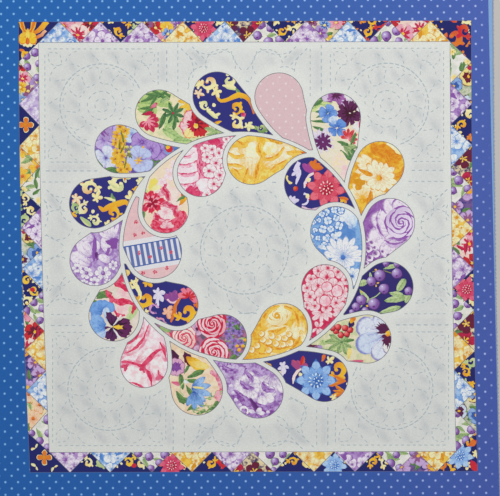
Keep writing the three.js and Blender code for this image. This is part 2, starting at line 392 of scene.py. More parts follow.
# ------------------------------------------------------------------ the feathers' prints
def print_o1(c):
    for d, L, w in ((-165, 19, 6), (-130, 19, 6), (-100, 17, 5.6), (-66, 18, 5.4), (-32, 18, 5), (0, 17, 4.4), (130, 15, 4.6), (160, 18, 5.4), (185, 20, 6), (100, 11, 4)):
        petal(c, 155, 104, d, L, w, (178, 198, 126), (116, 156, 84), LEAF, 0.2, 0.5, 12, 0.05)
    for x, y, d, L, w in ((141, 102, -22, 17, 2.8), (145, 94, 8, 14, 2.6), (140, 109, -8, 16, 2.8), (157, 98, -34, 12, 2.4), (142, 114, -28, 13, 2.4), (151, 90, 24, 11, 2.2),
                          (160, 96, 20, 10, 2.4), (150, 106, -55, 11, 2.2), (163, 91, 40, 9, 2), (138, 97, -50, 9, 2.2)):
        leaf(c, x, y, d, L, w, (96, 136, 78), (40, 80, 56))
    for t in range(14):
        petal(c, 195, 102, 80 + 25.7 * t, 17, 2.6, "yellow", "amber", LINED, 0.25, 0.6, 9)
    blob(c, 197, 103, 6.0, (78, 34, 60), (50, 26, 60), WASH, seed=2)
    for x, y, d, L, w in ((174, 131, -98, 26, 6.0), (184, 141, -150, 24, 5.6), (164, 131, -62, 18, 4.6), (192, 141, 182, 18, 4.4), (178, 122, -10, 12, 3.4), (162, 118, 150, 12, 3.2)):
        petal(c, x, y, d, L, w, (180, 202, 136), (98, 142, 82), LEAF, 0.3, 0.5, 13)
    for d in (-62, -22, 20, 62, 112, 158, 200, 248):
        leaf(c, 173, 113, d, 11, 2.3, (84, 126, 78), (34, 74, 54))
    disc(c, 173, 113, 1.3, "crimson", "crimson")
    leaf(c, 159, 130, -70, 19, 3.2, (88, 130, 76), (36, 78, 54))
    leaf(c, 176, 116, 100, 14, 2.4, (88, 130, 76), (36, 78, 54))
    petal(c, 140, 103, 200, 7, 3.4, "crimson", "maroon")
    petal(c, 141, 115, -12, 13, 2.8, "crimson", "maroon", LINED, point=0.3)
    petal(c, 150, 109, -40, 9, 2.4, (216, 120, 146), "crimson", LINED, point=0.3)
    for d, L in ((-38, 11), (-8, 12), (24, 13), (56, 13), (92, 10), (140, 9)):
        petal(c, 147, 121, d, L, 3.8, "crimson", (222, 140, 156), RAGGED, 0.3, 0.4, 12, 0.12)
    fan(c, 195, 124, (140, 172, 204, 236), 15, 6.8, (230, 196, 198), (204, 70, 104), LINED, 0, 0.4, 0.08)
    fan(c, 194, 125, (88, 124), 14, 6.2, (232, 214, 150), (214, 130, 60), LINED, 0, 0.4, 0.08)
    fan(c, 195, 124, (-85, -50, -15, 20, 52, 78), 14.5, 5.2, "red", (120, 18, 42), RAGGED, 0.1, 0.5, 0.14)
    fan(c, 195, 124, (158, 196, -112, 118), 8, 2.6, (178, 26, 58), "crimson", WASH, 0.2, 0.5, 0.3)
    disc(c, 196, 126, 2.3, "yellow", "lemon")
    for x, y, d in ((208, 119, 24), (215, 131, -165), (211, 127, 55), (220, 129, 10), (206, 135, -10), (184, 96, 190), (170, 97, 150), (206, 114, -20), (196, 139, 10), (226, 132, 190)):
        leaf(c, x, y, d, 11, 2.8, "pgreen", (92, 134, 78))


def print_o2(c):
    scroll(c, 209, 82, 190, 7.4, 1, "cream", "orange")
    star(c, 199, 84, 6.5, 170, "cream", "gold")
    star(c, 216, 91, 7.5, 70, "cream", "gold")
    star(c, 198, 93, 6.5, 20, (230, 206, 170), "orange")
    scroll(c, 229, 80, 250, 6.5, -1, "cream", "pgreen")
    petal(c, 222, 85, 15, 15, 3.0, "cream", "pgreen", WASH, 0.3, 0.6, 10)
    petal(c, 236, 88, 60, 12, 2.4, "green", "pgreen", WASH, 0.3, 0.6, 10)
    ribbon(c, curve([(217, 97), (221, 101), (229, 99), (238, 95), (246, 97), (252, 105), (254, 114)], 13),
           [0.7, 1.5, 2.0, 2.2, 2.2, 2.4, 2.6, 2.6, 2.4, 2.2, 2.0, 1.6, 0.9], "gold", "orange", WASH, ramp(236, 99, 75, 8))
    scroll(c, 236, 108, 120, 6.2, 1, "gold", "orange")
    scroll(c, 205, 105, 40, 4.8, -1, "cream", "pgreen", leaves=1)
    pearl(c, 214, 105, 1.8)
    petal(c, 207, 110, 38, 13, 2.8, "cream", "pgreen", WASH, 0.2, 0.7, 10)
    petal(c, 214, 116, -20, 7, 2.0, "cream", "pgreen", WASH, 0.2, 0.7, 8)
    scroll(c, 236, 123, 230, 6.4, -1, "cream", "gold")
    star(c, 248, 126, 7, 15, "cream", "pgreen")
    disc(c, 243.5, 114.8, 2.5, "rose", "crimson", BERRY)
    scroll(c, 262, 128, 200, 4.8, 1, "green", "cream", leaves=1)
    petal(c, 222, 121, 160, 9, 1.8, "gold", "orange", WASH, 0.3, 0.6, 8)


def print_o3(c):
    pass


def print_o4(c):
    fan(c, 321, 104, (-160, -125, -90, -55, -20, 12, 150), 12, 4.4, (198, 210, 146), (128, 164, 92), LEAF, 0.2)
    for x, y, d, L in ((312, 107, -34, 15), (313, 101, -62, 12), (310, 121, 2, 19), (312, 126, 20, 15), (318, 99, -20, 12), (316, 118, -28, 15), (315, 112, -8, 13), (311, 131, 40, 12), (322, 96, -80, 9)):
        leaf(c, x, y, d, L, 2.2, (92, 134, 78), (38, 78, 56))
    fan(c, 337, 100, (-165, -135, -105, -75, -45, -15, 15, 45), 17, 5.6, (204, 188, 212), (142, 84, 146), RAGGED, 0.15, 0.4, 0.18)
    fan(c, 352, 102, (-120, -85, -50, -15, 20, 50), 14, 4.6, "white", (196, 184, 208), LINED, 0.1, 0.4, 0.12)
    fan(c, 350, 113, (-175, -145, -112, -80, -50, 170, 140, 110, 75, 40, 10), 13.5, 3.8, (92, 36, 82), (62, 20, 44), RAGGED, 0.25, 0.5, 0.24)
    fan(c, 336, 96, (-100, -60, -20, 20, 60, 200, 160), 9.5, 3.0, (156, 96, 160), "plum", RAGGED, 0.2, 0.4, 0.22)
    fan(c, 358, 122, (60, 95, 130, 20), 9, 2.8, "white", (200, 196, 214), LINED, 0.2, 0.4, 0.1)
    flower(c, 328, 113, 9.6, 4, (118, 156, 214), (58, 102, 178), 10, wide=0.72, m=13, kind=PETAL)
    flower(c, 337, 128, 9.6, 4, (104, 146, 210), (50, 92, 172), 50, wide=0.70, m=13, kind=PETAL)
    blob(c, 333, 120, 4.4, "ice", "sky", BLOT, seed=4)
    fan(c, 321, 141, range(-165, 190, 32), 13, 3.2, (212, 204, 218), (168, 148, 190), RAGGED, 0.25, 0.4, 0.22)
    fan(c, 323, 142, range(-170, 180, 40), 9, 2.6, (98, 40, 96), (70, 26, 70), WASH, 0.25, 0.5, 0.3)
    for d, L in ((-118, 10), (-88, 11), (-58, 11), (-28, 11), (2, 10), (32, 9), (200, 8)):
        petal(c, 348, 139, d, L, 2.4, "red", (222, 150, 160), LINED, point=0.3)
    petal(c, 361, 117, 98, 12, 1.8, "crimson", "rose")
    for x, y, d, L in ((342, 141, 60, 17), (345, 147, 30, 15), (341, 145, 8, 17), (348, 151, 62, 14), (351, 145, -70, 13), (337, 141, 20, 12), (340, 150, 45, 14), (356, 160, -110, 12)):
        leaf(c, x, y, d, L, 2.7, "pgreen" if L > 14 else (98, 138, 80), (44, 88, 60))
    blob(c, 340, 161, 8, (228, 210, 176), "blush", BLOT, seed=6)
    blob(c, 346, 172, 6, "blush", (224, 190, 192), BLOT, seed=7)


def print_o5(c):
    pale, shade, deep = (236, 230, 196), (222, 168, 50), (204, 120, 26)
    fan(c, 376, 166, (182, 164, 146, 128, 200, 218), 20, 4.0, pale, shade, PETAL, 0.1, 0.55)
    fan(c, 363, 198, (-150, -118, -90, -62, -30), 17, 6.0, pale, shade, PETAL, 0.1, 0.5)
    fan(c, 388, 196, (-10, 30, 75, 120, 160, 200), 15, 6.0, pale, shade, PETAL, 0.1, 0.5)
    petal(c, 398, 156, -108, 19, 10, pale, (232, 214, 150), PETAL, 0, 0.6, 14)
    lines(c, [([(371, 143), (377, 149), (384, 150), (392, 156), (401, 157)], 3.0)], deep, (216, 152, 40))
    fan(c, 379, 178, (-178, -154, -130, -106, -82, -58, -34, -10, 14, 38), 19, 4.0, pale, (212, 146, 36), LINED, 0.15, 0.45)
    fan(c, 379, 179, (66, 96, 126, 156), 13, 3.8, pale, (212, 146, 36), LINED, 0.15, 0.45)
    blob(c, 379.5, 178, 2.8, "gold", deep, BLOT, seed=1)
    blob(c, 359, 184, 5.5, "amber", (212, 150, 40), BLOT, seed=9, rough=0.25)
    lines(c, [([(396, 176), (402, 172), (404, 166)], 1.4), ([(371, 190), (369, 200), (366, 208)], 1.2), ([(384, 152), (388, 160), (390, 166)], 1.2), ([(358, 168), (366, 172), (372, 174)], 1.0)],
          deep, (216, 156, 44))


def print_o6(c):
    pale, mid = (222, 214, 228), (146, 98, 170)
    for x, y, d, L, w in ((400, 230, 158, 36, 15), (398, 238, 122, 26, 13), (402, 226, 196, 34, 12), (404, 218, 228, 28, 12), (404, 218, 262, 22, 12), (404, 238, 84, 20, 11)):
        petal(c, x, y, d, L, w, pale, mid, LINED, 0, 0.7, 16)
    rose(c, 401, 222.5, 16.5, (216, 204, 224), (138, 82, 162), 200, rings=4, open_=0.74)
    lines(c, [([(384, 240), (392, 244), (402, 242), (410, 236)], 1.3), ([(380, 208), (377, 218), (379, 230), (385, 238)], 1.0)], (138, 84, 160), (190, 164, 204), pale)
    for x, y, r in ((369, 249, 3.4), (376, 254, 3.8), (383, 258, 3.0), (370, 258, 3.4), (366, 264, 3.4), (364, 254, 2.6), (372, 243, 3.0), (378, 262, 3.2), (389, 256, 3.0),
                    (367, 240, 2.6), (375, 248, 2.4), (383, 252, 2.4), (364, 246, 2.4), (372, 264, 2.6)):
        disc(c, x, y, r, pale, "purple", BERRY, n=10)
        disc(c, x + 0.2, y + 0.2, r * 0.26, "dpurple", "dpurple", n=5)


def print_o7(c):
    for x, y, d, L, w in ((397, 292, -58, 15, 4.6), (384, 301, -10, 24, 4.6), (356, 285, -16, 12, 4.0), (359, 289, 52, 18, 3.2),
                          (379, 313, -16, 22, 3.4), (383, 269, -16, 15, 2.4), (370, 272, 80, 8, 2), (405, 303, -60, 10, 3.4), (389, 293, 10, 15, 3.4)):
        petal(c, x, y, d, L, w, (184, 200, 150), "green", LEAF, 0.35, 0.5, 12)
    stroke(c, [(358, 309), (366, 301), (376, 296), (384, 289)], 0.5, 0.5, "pgreen", "green")
    stroke(c, [(372, 272), (384, 271), (395, 274)], 0.45, 0.45, "olive", "green")
    for x, y, r in ((380, 275.5, 6.2), (371.5, 281.5, 5.2), (397, 273.5, 5.6), (384, 289, 5.6), (408.5, 291, 4.4), (374, 304, 6.2),
                    (361.5, 300, 5.4), (356, 306.5, 4.4), (365.5, 311, 4.0), (397, 264, 3.8), (386, 263.5, 3.4), (352, 312, 3)):
        berry(c, x, y, r, (180, 158, 204), (118, 78, 150))
    for x, y in ((376, 286), (362, 292), (378, 283), (367, 306), (376, 270)):
        disc(c, x, y, 1.1, "gold", "gold", n=6)


def print_o8(c):
    for x, y, d, L, w in ((318, 345, -20, 18, 3.4), (322, 349, 6, 20, 3.4), (318, 349, -60, 10, 2.4)):
        petal(c, x, y, d, L, w, (196, 208, 150), "green", LEAF, 0.3, 0.5, 12)
    for d, L, w in ((-178, 17, 2.8), (-150, 14, 2.6), (-90, 11, 2.6), (-50, 12, 2.8), (-12, 12, 2.4), (30, 11, 2.8), (70, 13, 3.0), (110, 12, 2.8), (150, 15, 2.8)):
        petal(c, 342, 342, d, L, w, "pgreen" if d % 4 else "green", (56, 104, 62), LEAF, 0.35, 0.5, 10)
    for x, y in ((336, 331), (341, 335), (347, 334), (333, 328), (350, 330), (338, 327), (345, 328)):
        disc(c, x, y, 3.4, "maroon", "maroon", n=10)
        disc(c, x - 0.2, y - 0.3, 2.9, "red", (226, 120, 120), BERRY, n=10)
    petal(c, 349, 328, -60, 8, 4.0, "navy2", "plum", WASH)
    petal(c, 350, 323, -50, 8, 3.6, "orange", "gold")
    petal(c, 346, 318, -120, 6, 3, "orange", "gold")
    pale = (208, 214, 228)
    petal(c, 386, 333, 196, 31, 13.5, pale, (128, 130, 186), LINED, 0, 0.55, 18)
    petal(c, 386, 336, 158, 32, 13.0, (196, 208, 230), (122, 128, 190), LINED, 0, 0.55, 18)
    petal(c, 387, 337, 118, 26, 10, pale, (138, 132, 186), LINED, 0, 0.55, 16)
    petal(c, 386, 331, 240, 20, 9, pale, (138, 132, 186), LINED, 0, 0.55, 16)
    petal(c, 388, 335, 84, 20, 8, "white", (128, 110, 160), LINED, 0, 0.55, 14)
    for d, L, w in ((186, 12, 2.0), (208, 14, 2.6), (228, 14, 3.0), (250, 11, 3.0), (150, 8, 2), (112, 12, 3.0), (92, 14, 3.0), (70, 11, 3)):
        petal(c, 388, 333.5, d, L, w, (78, 30, 72), "maroon", WASH, 0.2, 0.6, 12, 0.3)
    disc(c, 388, 333.5, 3.0, "gold", "orange")
    petal(c, 387, 334, 176, 9, 0.8, "white", "white", WASH)
    petal(c, 346, 362, -4, 18, 2.2, "rose", "crimson", WASH)
    petal(c, 348, 359, -80, 11, 3.0, "lemon", "yellow", PETAL)
    blob(c, 309, 349, 6.5, "plum", "maroon", BLOT, seed=9, rough=0.3)
    petal(c, 314, 346, 10, 9, 2.8, "lav", "mauve", RAGGED)


def print_o9(c):
    star(c, 283, 366, 7.5, 80, (212, 206, 220), (176, 160, 200))
    petal(c, 283, 364, 95, 13, 2.2, (212, 206, 220), (176, 160, 200), WASH, 0.2, 0.6, 9)
    ribbon(c, curve([(266, 364), (270, 366), (272, 371), (270, 375)], 8), 1.4, "gold", "cream")
    scroll(c, 275, 375, 0, 4.2, 1, "cream", "gold", leaves=1)
    fan(c, 298, 370, (-120, -90, -60, -30), 11, 3.6, (160, 70, 120), (206, 90, 80), WASH, 0.2)
    petal(c, 301, 366, -75, 10, 3.0, "red", "orange", WASH, 0.3)
    ribbon(c, curve([(293, 384), (294, 377), (298, 371), (304, 368)], 9), [0.6, 1.2, 1.5, 1.5, 1.4, 1.2, 1.1, 1.0, 1.0], (226, 206, 200), "cream")
    disc(c, 300.5, 374.5, 2.2, "cream", "butter")
    scroll(c, 338, 369, 150, 8.0, 1, "gold", "orange")
    star(c, 329, 361, 6, -40, "cream", "gold")
    petal(c, 322, 362, -70, 8, 2.6, "orange", "red", WASH, 0.3)
    fan(c, 346, 381, (165, 185, 205), 17, 2.2, "orange", "gold", WASH, 0.2, 0.5)
    fan(c, 347, 393, (170, 190, 212), 15, 2.0, "orange", "gold", WASH, 0.2, 0.5)
    disc(c, 347.5, 384, 1.7, "cream", "butter")
    disc(c, 285, 383.5, 1.7, "red", "rose")
    scroll(c, 293, 391, 220, 4.2, 1, (214, 200, 216), "cream", leaves=1)
    star(c, 333, 397, 5, 30, "cream", "gold")
    lotus(c, 316, 380.5, 19.0, (126, 166, 218), (58, 102, 176), -90, (206, 222, 238), (150, 184, 224))


def print_o10(c):
    pale, mid = (224, 220, 230), (150, 114, 176)
    fan(c, 232, 378, (-175, -140, -105, -72, -40, -5, 40, 80), 16, 5.0, (196, 180, 212), "purple", LINED, 0.25, 0.4, 0.12)
    fan(c, 272, 374, (30, 58, 86, 114, 142), 24, 5.0, pale, mid, PETAL, 0.1, 0.5, 0.08)
    petal(c, 262, 370, -70, 14, 6, (196, 180, 212), "purple", PETAL)
    fan(c, 248, 386, (-175, -128, -80, -35, 12, 60, 105, 150), 14, 6.6, pale, mid, PETAL, 0, 0.5, 0.14)
    fan(c, 262, 394, (-70, -20, 30, 85), 14, 6.0, pale, mid, LINED, 0, 0.5, 0.12)
    lines(c, [([(233, 390), (240, 398), (247, 404), (256, 408), (266, 410), (274, 405)], 3.0), ([(262, 382), (266, 388), (274, 390)], 1.4), ([(240, 380), (246, 386), (254, 388)], 1.2),
              ([(222, 366), (230, 370), (238, 370)], 1.4), ([(244, 370), (250, 376), (252, 382)], 1.0)], (122, 66, 146), (176, 146, 200))
    petal(c, 250, 398, 60, 16, 3, (90, 40, 108), "purple", WASH, 0.1, 0.6, 12, 0.15)
    ribbon(c, ring_arc(244, 411, 4.0, 120, 400), 1.1, pale, "lav")
    fan(c, 256, 413, (-40, 0, 200), 8, 3.0, pale, "lav", PETAL)
    for x, y in ((233, 393), (236, 400), (231, 386), (240, 405), (268, 412), (246, 416)):
        disc(c, x, y, 2.0, (212, 204, 220), "lav", n=8)


def ring_arc(x, y, r, a0, a1, n=14):
    t = np.radians(np.linspace(a0, a1, n))
    return np.stack([x + r * np.cos(t), y + r * np.sin(t)], 1)


def print_o11(c):
    petal(c, 166, 349, 42, 17, 5.0, (70, 28, 62), "maroon", WASH, 0.1, 0.6, 13, 0.12)
    petal(c, 184, 352, 60, 16, 5.0, (76, 30, 64), "maroon", WASH, 0.1, 0.6, 13, 0.12)
    petal(c, 186, 357, 35, 23, 6.4, "yellow", "amber", PETAL, 0, 0.5, 13)
    petal(c, 188, 362, 14, 22, 4.2, "lemon", "gold", PETAL, 0, 0.5, 12)
    for t in range(-60, 301, 45):
        petal(c, 176, 367, t, 9.5, 4.4, (206, 160, 190), "mauve", LINED, 0, 0.5, 12)
    fan(c, 176, 367, range(-40, 320, 60), 5.5, 2.4, "purple", "dpurple", WASH, 0.2, 0.5, 0.25)
    petal(c, 171, 382, 15, 10, 3.2, "rose", "pink", WASH)
    for x, y, d, L, w in ((183, 390, -100, 16, 3.4), (187, 378, -24, 18, 3.6), (184, 380, 8, 16, 3.2), (176, 391, 58, 15, 4.0), (178, 398, 16, 14, 3.4), (186, 385, 60, 14, 3.0),
                          (172, 395, 100, 12, 3.4), (187, 411, -40, 10, 2.6), (196, 414, -20, 10, 2.2), (205, 414, -40, 11, 2.4), (213, 409, -60, 10, 2.4), (184, 374, -60, 10, 2.4)):
        leaf(c, x, y, d, L, w, "green", (40, 82, 56))
    stroke(c, curve([(188, 379), (182, 384), (180, 391), (184, 396)], 8), 0.7, 0.5, "pgreen", "pgreen")
    for d, L in ((-38, 17), (-8, 19), (20, 22), (44, 19)):
        petal(c, 191, 388, d, L, 4.2, (150, 184, 222), (50, 92, 170), PETAL, 0.5, 0.4, 13)
    for d, L in ((62, 18), (88, 19), (114, 16)):
        petal(c, 194, 391, d, L, 4.0, (126, 168, 216), "dblue", PETAL, 0.5, 0.4, 12)
    petal(c, 192, 387, 6, 12, 1.8, "lemon", "pgreen", WASH)
    petal(c, 189, 383, 200, 6, 2.4, "white", "ice", PETAL)
    ribbon(c, curve([(210, 372), (216, 374), (220, 380), (222, 388), (221, 394)], 10), [1.4, 2.6, 3.2, 3.0, 3.2, 3.0, 3.2, 2.8, 2.2, 1.2], "rose", (224, 180, 190), BLOT)
    spray(c, 205, 399, -24, 15, 5, "pgreen", "green", 4.6)
    spray(c, 190, 409, 10, 22, 7, "pgreen", "green", 4.8)
    fan(c, 215, 398, (-60, -20, 20), 8, 2.6, (224, 170, 182), "rose", LINED, 0.1)
    spray(c, 200, 405, 6, 12, 4, "pgreen", "green", 3.2)


def print_o12(c):
    pale, deep = (232, 224, 226), (198, 40, 84)
    bands = (([(124, 346), (132, 341), (139, 333), (143, 320)], 1.5), ([(123, 354), (134, 349), (143, 339), (149, 324)], 1.3),
             ([(121, 362), (128, 362), (136, 364), (142, 366), (148, 360), (156, 352), (163, 349)], 2.3),
             ([(142, 366), (148, 372), (151, 380), (152, 390)], 1.8), ([(126, 346), (122, 352), (119, 358)], 1.2),
             ([(158, 370), (160, 376), (166, 380)], 1.4), ([(128, 382), (136, 384), (145, 388)], 1.2), ([(160, 342), (164, 350), (166, 360)], 1.6))
    for pts, w in bands:
        p = curve(pts, 13)
        s = np.linspace(0, 1, len(p))
        ribbon(c, p + (0.4, 1.8), 2.5 * w * np.sin(np.pi * (0.08 + 0.84 * s)) ** 0.5, (230, 196, 204), (216, 130, 156), BLOT)
    for x, y, d, L, w in ((127, 356, -50, 24, 5.0), (124, 350, -48, 20, 3.2), (136, 362, -38, 22, 5.4)):
        petal(c, x, y, d, L, w, pale, (214, 130, 152), PETAL, 0, 0.7, 14)
    blob(c, 136, 376, 9.5, pale, (224, 190, 196), BLOT, 18, 1.2, 30, 0.08, 3)
    blob(c, 157, 364, 6.5, pale, (224, 190, 196), BLOT, 16, 1.1, -30, 0.10, 5)
    blob(c, 159, 378, 3.6, (226, 180, 190), "rose", BLOT, 12)
    for pts, w in bands:
        p = curve(pts, 15)
        s = np.linspace(0, 1, len(p))
        wob = 1 + 0.35 * np.sin(9 * s + pts[0][0])
        ribbon(c, p, w * 0.85 * np.sin(np.pi * (0.06 + 0.88 * s)) ** 0.6 * wob, deep, (214, 84, 116), BLOT)
    blob(c, 125, 367, 3.6, deep, "rose", BLOT, seed=10, rough=0.3)
    blob(c, 143, 369, 3.4, deep, "rose", BLOT, seed=11, rough=0.3)


def print_o13(c):
    for x, y, d, L, w in ((93, 296, -8, 19, 4.6), (96, 299, -30, 14, 3.6), (97, 292, 24, 13, 3.2), (92, 300, 30, 11, 3)):
        leaf(c, x, y, d, L, w, "green", (40, 88, 56))
    petal(c, 127, 322, -62, 20, 5.4, (186, 204, 150), "pgreen", LEAF, 0.2, 0.6, 12)
    blob(c, 124, 296, 8.5, "blush", (222, 180, 186), BLOT, 16, 1.1, 20, 0.1, 2)
    blob(c, 121, 310, 7.0, "blush", (222, 180, 186), BLOT, 16, 1.2, -20, 0.1, 4)
    for pts, w in (([(111, 296), (115, 301), (122, 302), (129, 302), (136, 306)], 3.0), ([(116, 276), (118, 283), (124, 287), (130, 291)], 3.4),
                   ([(118, 270), (121, 277), (124, 282)], 2.8), ([(136, 300), (134, 308), (132, 314)], 1.8), ([(113, 309), (118, 315), (125, 315)], 1.6),
                   ([(106, 290), (110, 297), (112, 304)], 2.2)):
        p = curve(pts, 12)
        s = np.linspace(0, 1, len(p))
        ribbon(c, p, w * np.sin(np.pi * (0.08 + 0.84 * s)) ** 0.6 * (1 + 0.3 * np.sin(11 * s + w * 5)), (198, 36, 76), (216, 96, 122), BLOT)
    fan(c, 102, 312, (-150, -110, -70, -30, 190, 150), 13, 6.2, (116, 160, 216), (66, 112, 186), PETAL, 0, 0.5, 0.05)
    fan(c, 106, 326, (140, 165, 190, 215), 19, 6.0, (134, 174, 220), (72, 120, 192), PETAL, 0, 0.5, 0.05)
    petal(c, 108, 322, -100, 15, 5.0, (188, 206, 228), "sky", PETAL)
    petal(c, 108, 331, 150, 15, 5.0, (180, 200, 228), "sky", PETAL)
    for d, L, w in ((-112, 16, 5.0), (-88, 12, 4), (96, 15, 4.6), (122, 14, 4.4), (70, 11, 3.6)):
        petal(c, 114, 327, d, L, w, (82, 34, 84), (50, 20, 56), RAGGED, 0.15, 0.5, 14, 0.14)
    for d, L, w in ((-22, 17, 5.6), (4, 18, 6.6), (30, 17, 6.0)):
        petal(c, 114, 327, d, L, w, (92, 34, 84), (52, 18, 48), RAGGED, 0.05, 0.55, 15, 0.12)
    petal(c, 113, 328, 58, 13, 1.6, "white", "lav", WASH)
    petal(c, 113, 326, -52, 14, 1.6, "white", "lav", WASH)
    petal(c, 113, 327, 2, 10, 3.2, "yellow", "gold", WASH, ragged=0.2)
    petal(c, 111, 327, 170, 7, 1.6, (90, 44, 96), "plum", WASH)


def print_o14(c):
    pale = (222, 216, 230)
    for x, y, d, L, w in ((92, 266, 210, 26, 9), (92, 258, 232, 24, 8), (96, 240, 196, 24, 6.5), (110, 256, 252, 22, 6.5), (96, 254, 268, 15, 5.2)):
        petal(c, x, y, d, L, w, pale, (150, 110, 178), LINED, 0, 0.6, 16)
    fan(c, 112, 240, (-150, -128, -108, -88, -68), 17, 2.4, pale, (150, 112, 178), LINED, 0, 0.7)
    blob(c, 113, 243, 5.6, (128, 76, 160), "purple", BLOT, seed=4, rough=0.25)
    petal(c, 94, 262, -88, 26, 2.6, (134, 84, 164), "purple", WASH, 0.1, 0.6, 12, 0.12)
    blob(c, 98, 256, 3.6, "dpurple", "purple", WASH, seed=2, rough=0.3)
    petal(c, 104, 262, -70, 16, 2.0, (140, 90, 168), "purple", WASH, 0.1, 0.6, 12, 0.15)
    petal(c, 112, 262, 205, 16, 4.6, pale, (146, 106, 176), LINED, 0, 0.6, 14)
    for k, (x, y, r) in enumerate(((103, 273, 8.5), (86.5, 273, 7), (94, 282, 6), (77, 268, 5.4), (113, 265, 5), (84, 283, 4.4), (108, 282, 4))):
        flower(c, x, y, r, 6, (228, 224, 234), (142, 98, 170), 20 * k, wide=0.40, point=0.25, m=10, kind=LINED)
        disc(c, x, y, r * 0.26, "purple", "lav", BERRY, n=8)


def print_o15(c):
    star(c, 76, 198, 7.5, 60, (232, 210, 172), "orange")
    scroll(c, 89, 189, 20, 7.6, 1, "cream", "orange")
    star(c, 96.5, 198, 7.5, -70, "cream", "gold")
    scroll(c, 119, 185, 330, 8.6, 1, "cream", "pgreen")
    petal(c, 108, 181, 30, 13, 3.4, "cream", "pgreen", WASH, 0.2, 0.6, 10)
    petal(c, 111, 193, 70, 12, 2.4, "green", "pgreen", WASH, 0.2, 0.6, 10)
    petal(c, 104, 197, 20, 12, 2.0, "cream", "pgreen", WASH, 0.2, 0.6, 10)
    ribbon(c, curve([(99, 206), (103, 210), (109, 207), (117, 204), (125, 202), (130, 206)], 12),
           [0.8, 1.6, 2.0, 2.4, 2.8, 3.0, 3.0, 2.8, 2.6, 2.4, 1.8, 1.0], "gold", "orange", WASH, ramp(114, 206, 80, 9))
    scroll(c, 113, 213, 100, 6.4, 1, "gold", "orange")
    star(c, 131, 198, 7.5, -100, "cream", "gold")
    star(c, 140, 181, 7, -20, "cream", "pgreen")
    scroll(c, 84, 209, 300, 5.4, 1, (216, 216, 176), "gold", leaves=1)
    scroll(c, 76, 207, 60, 4.4, -1, "pgreen", "green", leaves=1)
    pearl(c, 93, 211.5, 1.9)
    star(c, 72, 214, 5, 30, "gold", "orange")
    petal(c, 80, 217, 40, 14, 2.8, "pgreen", "cream", WASH, 0.2, 0.7, 10)
    scroll(c, 95, 221, 200, 5.0, -1, "cream", "pgreen")
    star(c, 125, 176, 4.4, 90, "orange", "red")
    star(c, 107, 224, 5.5, 0, "cream", "gold")
    scroll(c, 137, 190, 0, 3.6, 1, "gold", "orange", leaves=1)


def print_o16(c):
    lilac, rim_ = (170, 142, 202), (124, 88, 168)
    for x, y, r, d in ((104, 139, 11, 60), (112, 133, 9, 20)):
        flower(c, x, y, r, 5, (188, 172, 214), rim_, d, wide=0.58, uneven=0.12, ragged=0.05, kind=LINED)
    flower(c, 106, 158, 13, 5, (208, 212, 226), (148, 156, 200), 200, wide=0.58, kind=LINED)
    fan(c, 101, 131, (10, 50, 330), 12, 4.5, "lav", "purple", RAGGED)
    flower(c, 132, 134, 10, 5, "ice", (132, 160, 206), 40, wide=0.60, kind=LINED)
    disc(c, 134, 138, 1.6, "gold", "gold")
    for x, y, d, L, w in ((95, 158, 62, 15, 4.0), (103, 169, 8, 16, 4.0), (148, 164, -28, 16, 3.8), (150, 154, 22, 15, 3.4), (153, 160, 80, 9, 3), (93, 150, 118, 9, 2.8), (104, 172, -20, 12, 3)):
        leaf(c, x, y, d, L, w, "green", (36, 82, 62))
    for x, y, r, d in ((156, 142, 10, 20), (160, 151, 10, 70), (142, 142, 11, 10), (151, 150, 10.5, 40)):
        flower(c, x, y, r, 5, lilac, (110, 64, 150), d, wide=0.60, uneven=0.12, kind=LINED)
    flower(c, 140, 160, 14.5, 5, (182, 194, 224), (132, 124, 186), 25, wide=0.60, uneven=0.12, kind=LINED)
    for k in range(6):
        petal(c, 138.5, 160.5, 61 * k, 4.4, 1.0, "gold", "lemon", WASH, point=0.3)
    disc(c, 138.5, 160.5, 1.5, "gold", "orange")
    disc(c, 143, 147, 1.4, "gold", "gold")
    for k, (x, y) in enumerate(((120, 127), (125, 131), (117, 135), (123, 138), (116, 143), (121, 148), (117, 153), (122, 156), (118, 162), (124, 165), (121, 170), (127, 169), (115, 159), (121, 143))):
        flower(c, x, y, 5.2, 5, "yellow", (196, 128, 20), 40 * k, wide=0.52, m=9)
        disc(c, x, y, 0.9, (150, 84, 20), "amber", n=6)
    for x, y, d, L in ((121, 130, 78, 13), (125, 143, 112, 11), (125, 147, 58, 14), (127, 155, 100, 13), (120, 139, 92, 10), (128, 146, 84, 12)):
        leaf(c, x, y, d, L, 1.3, "olive", (40, 66, 44))
    for x, y in ((127, 147), (129, 152), (126, 154), (131, 147)):
        disc(c, x, y, 1.5, (206, 206, 120), "olive", n=7)
    blob(c, 172, 148, 8, "blue", "sky", WASH, seed=12)
    blob(c, 180, 147, 6, "blue", "dblue", WASH, seed=13)
    disc(c, 169, 148.5, 4.2, "red", "crimson", BERRY)
    disc(c, 167.8, 147, 1.9, "gold", "yellow")
    leaf(c, 160, 140, 40, 9, 2.4, "green", "dgreen")


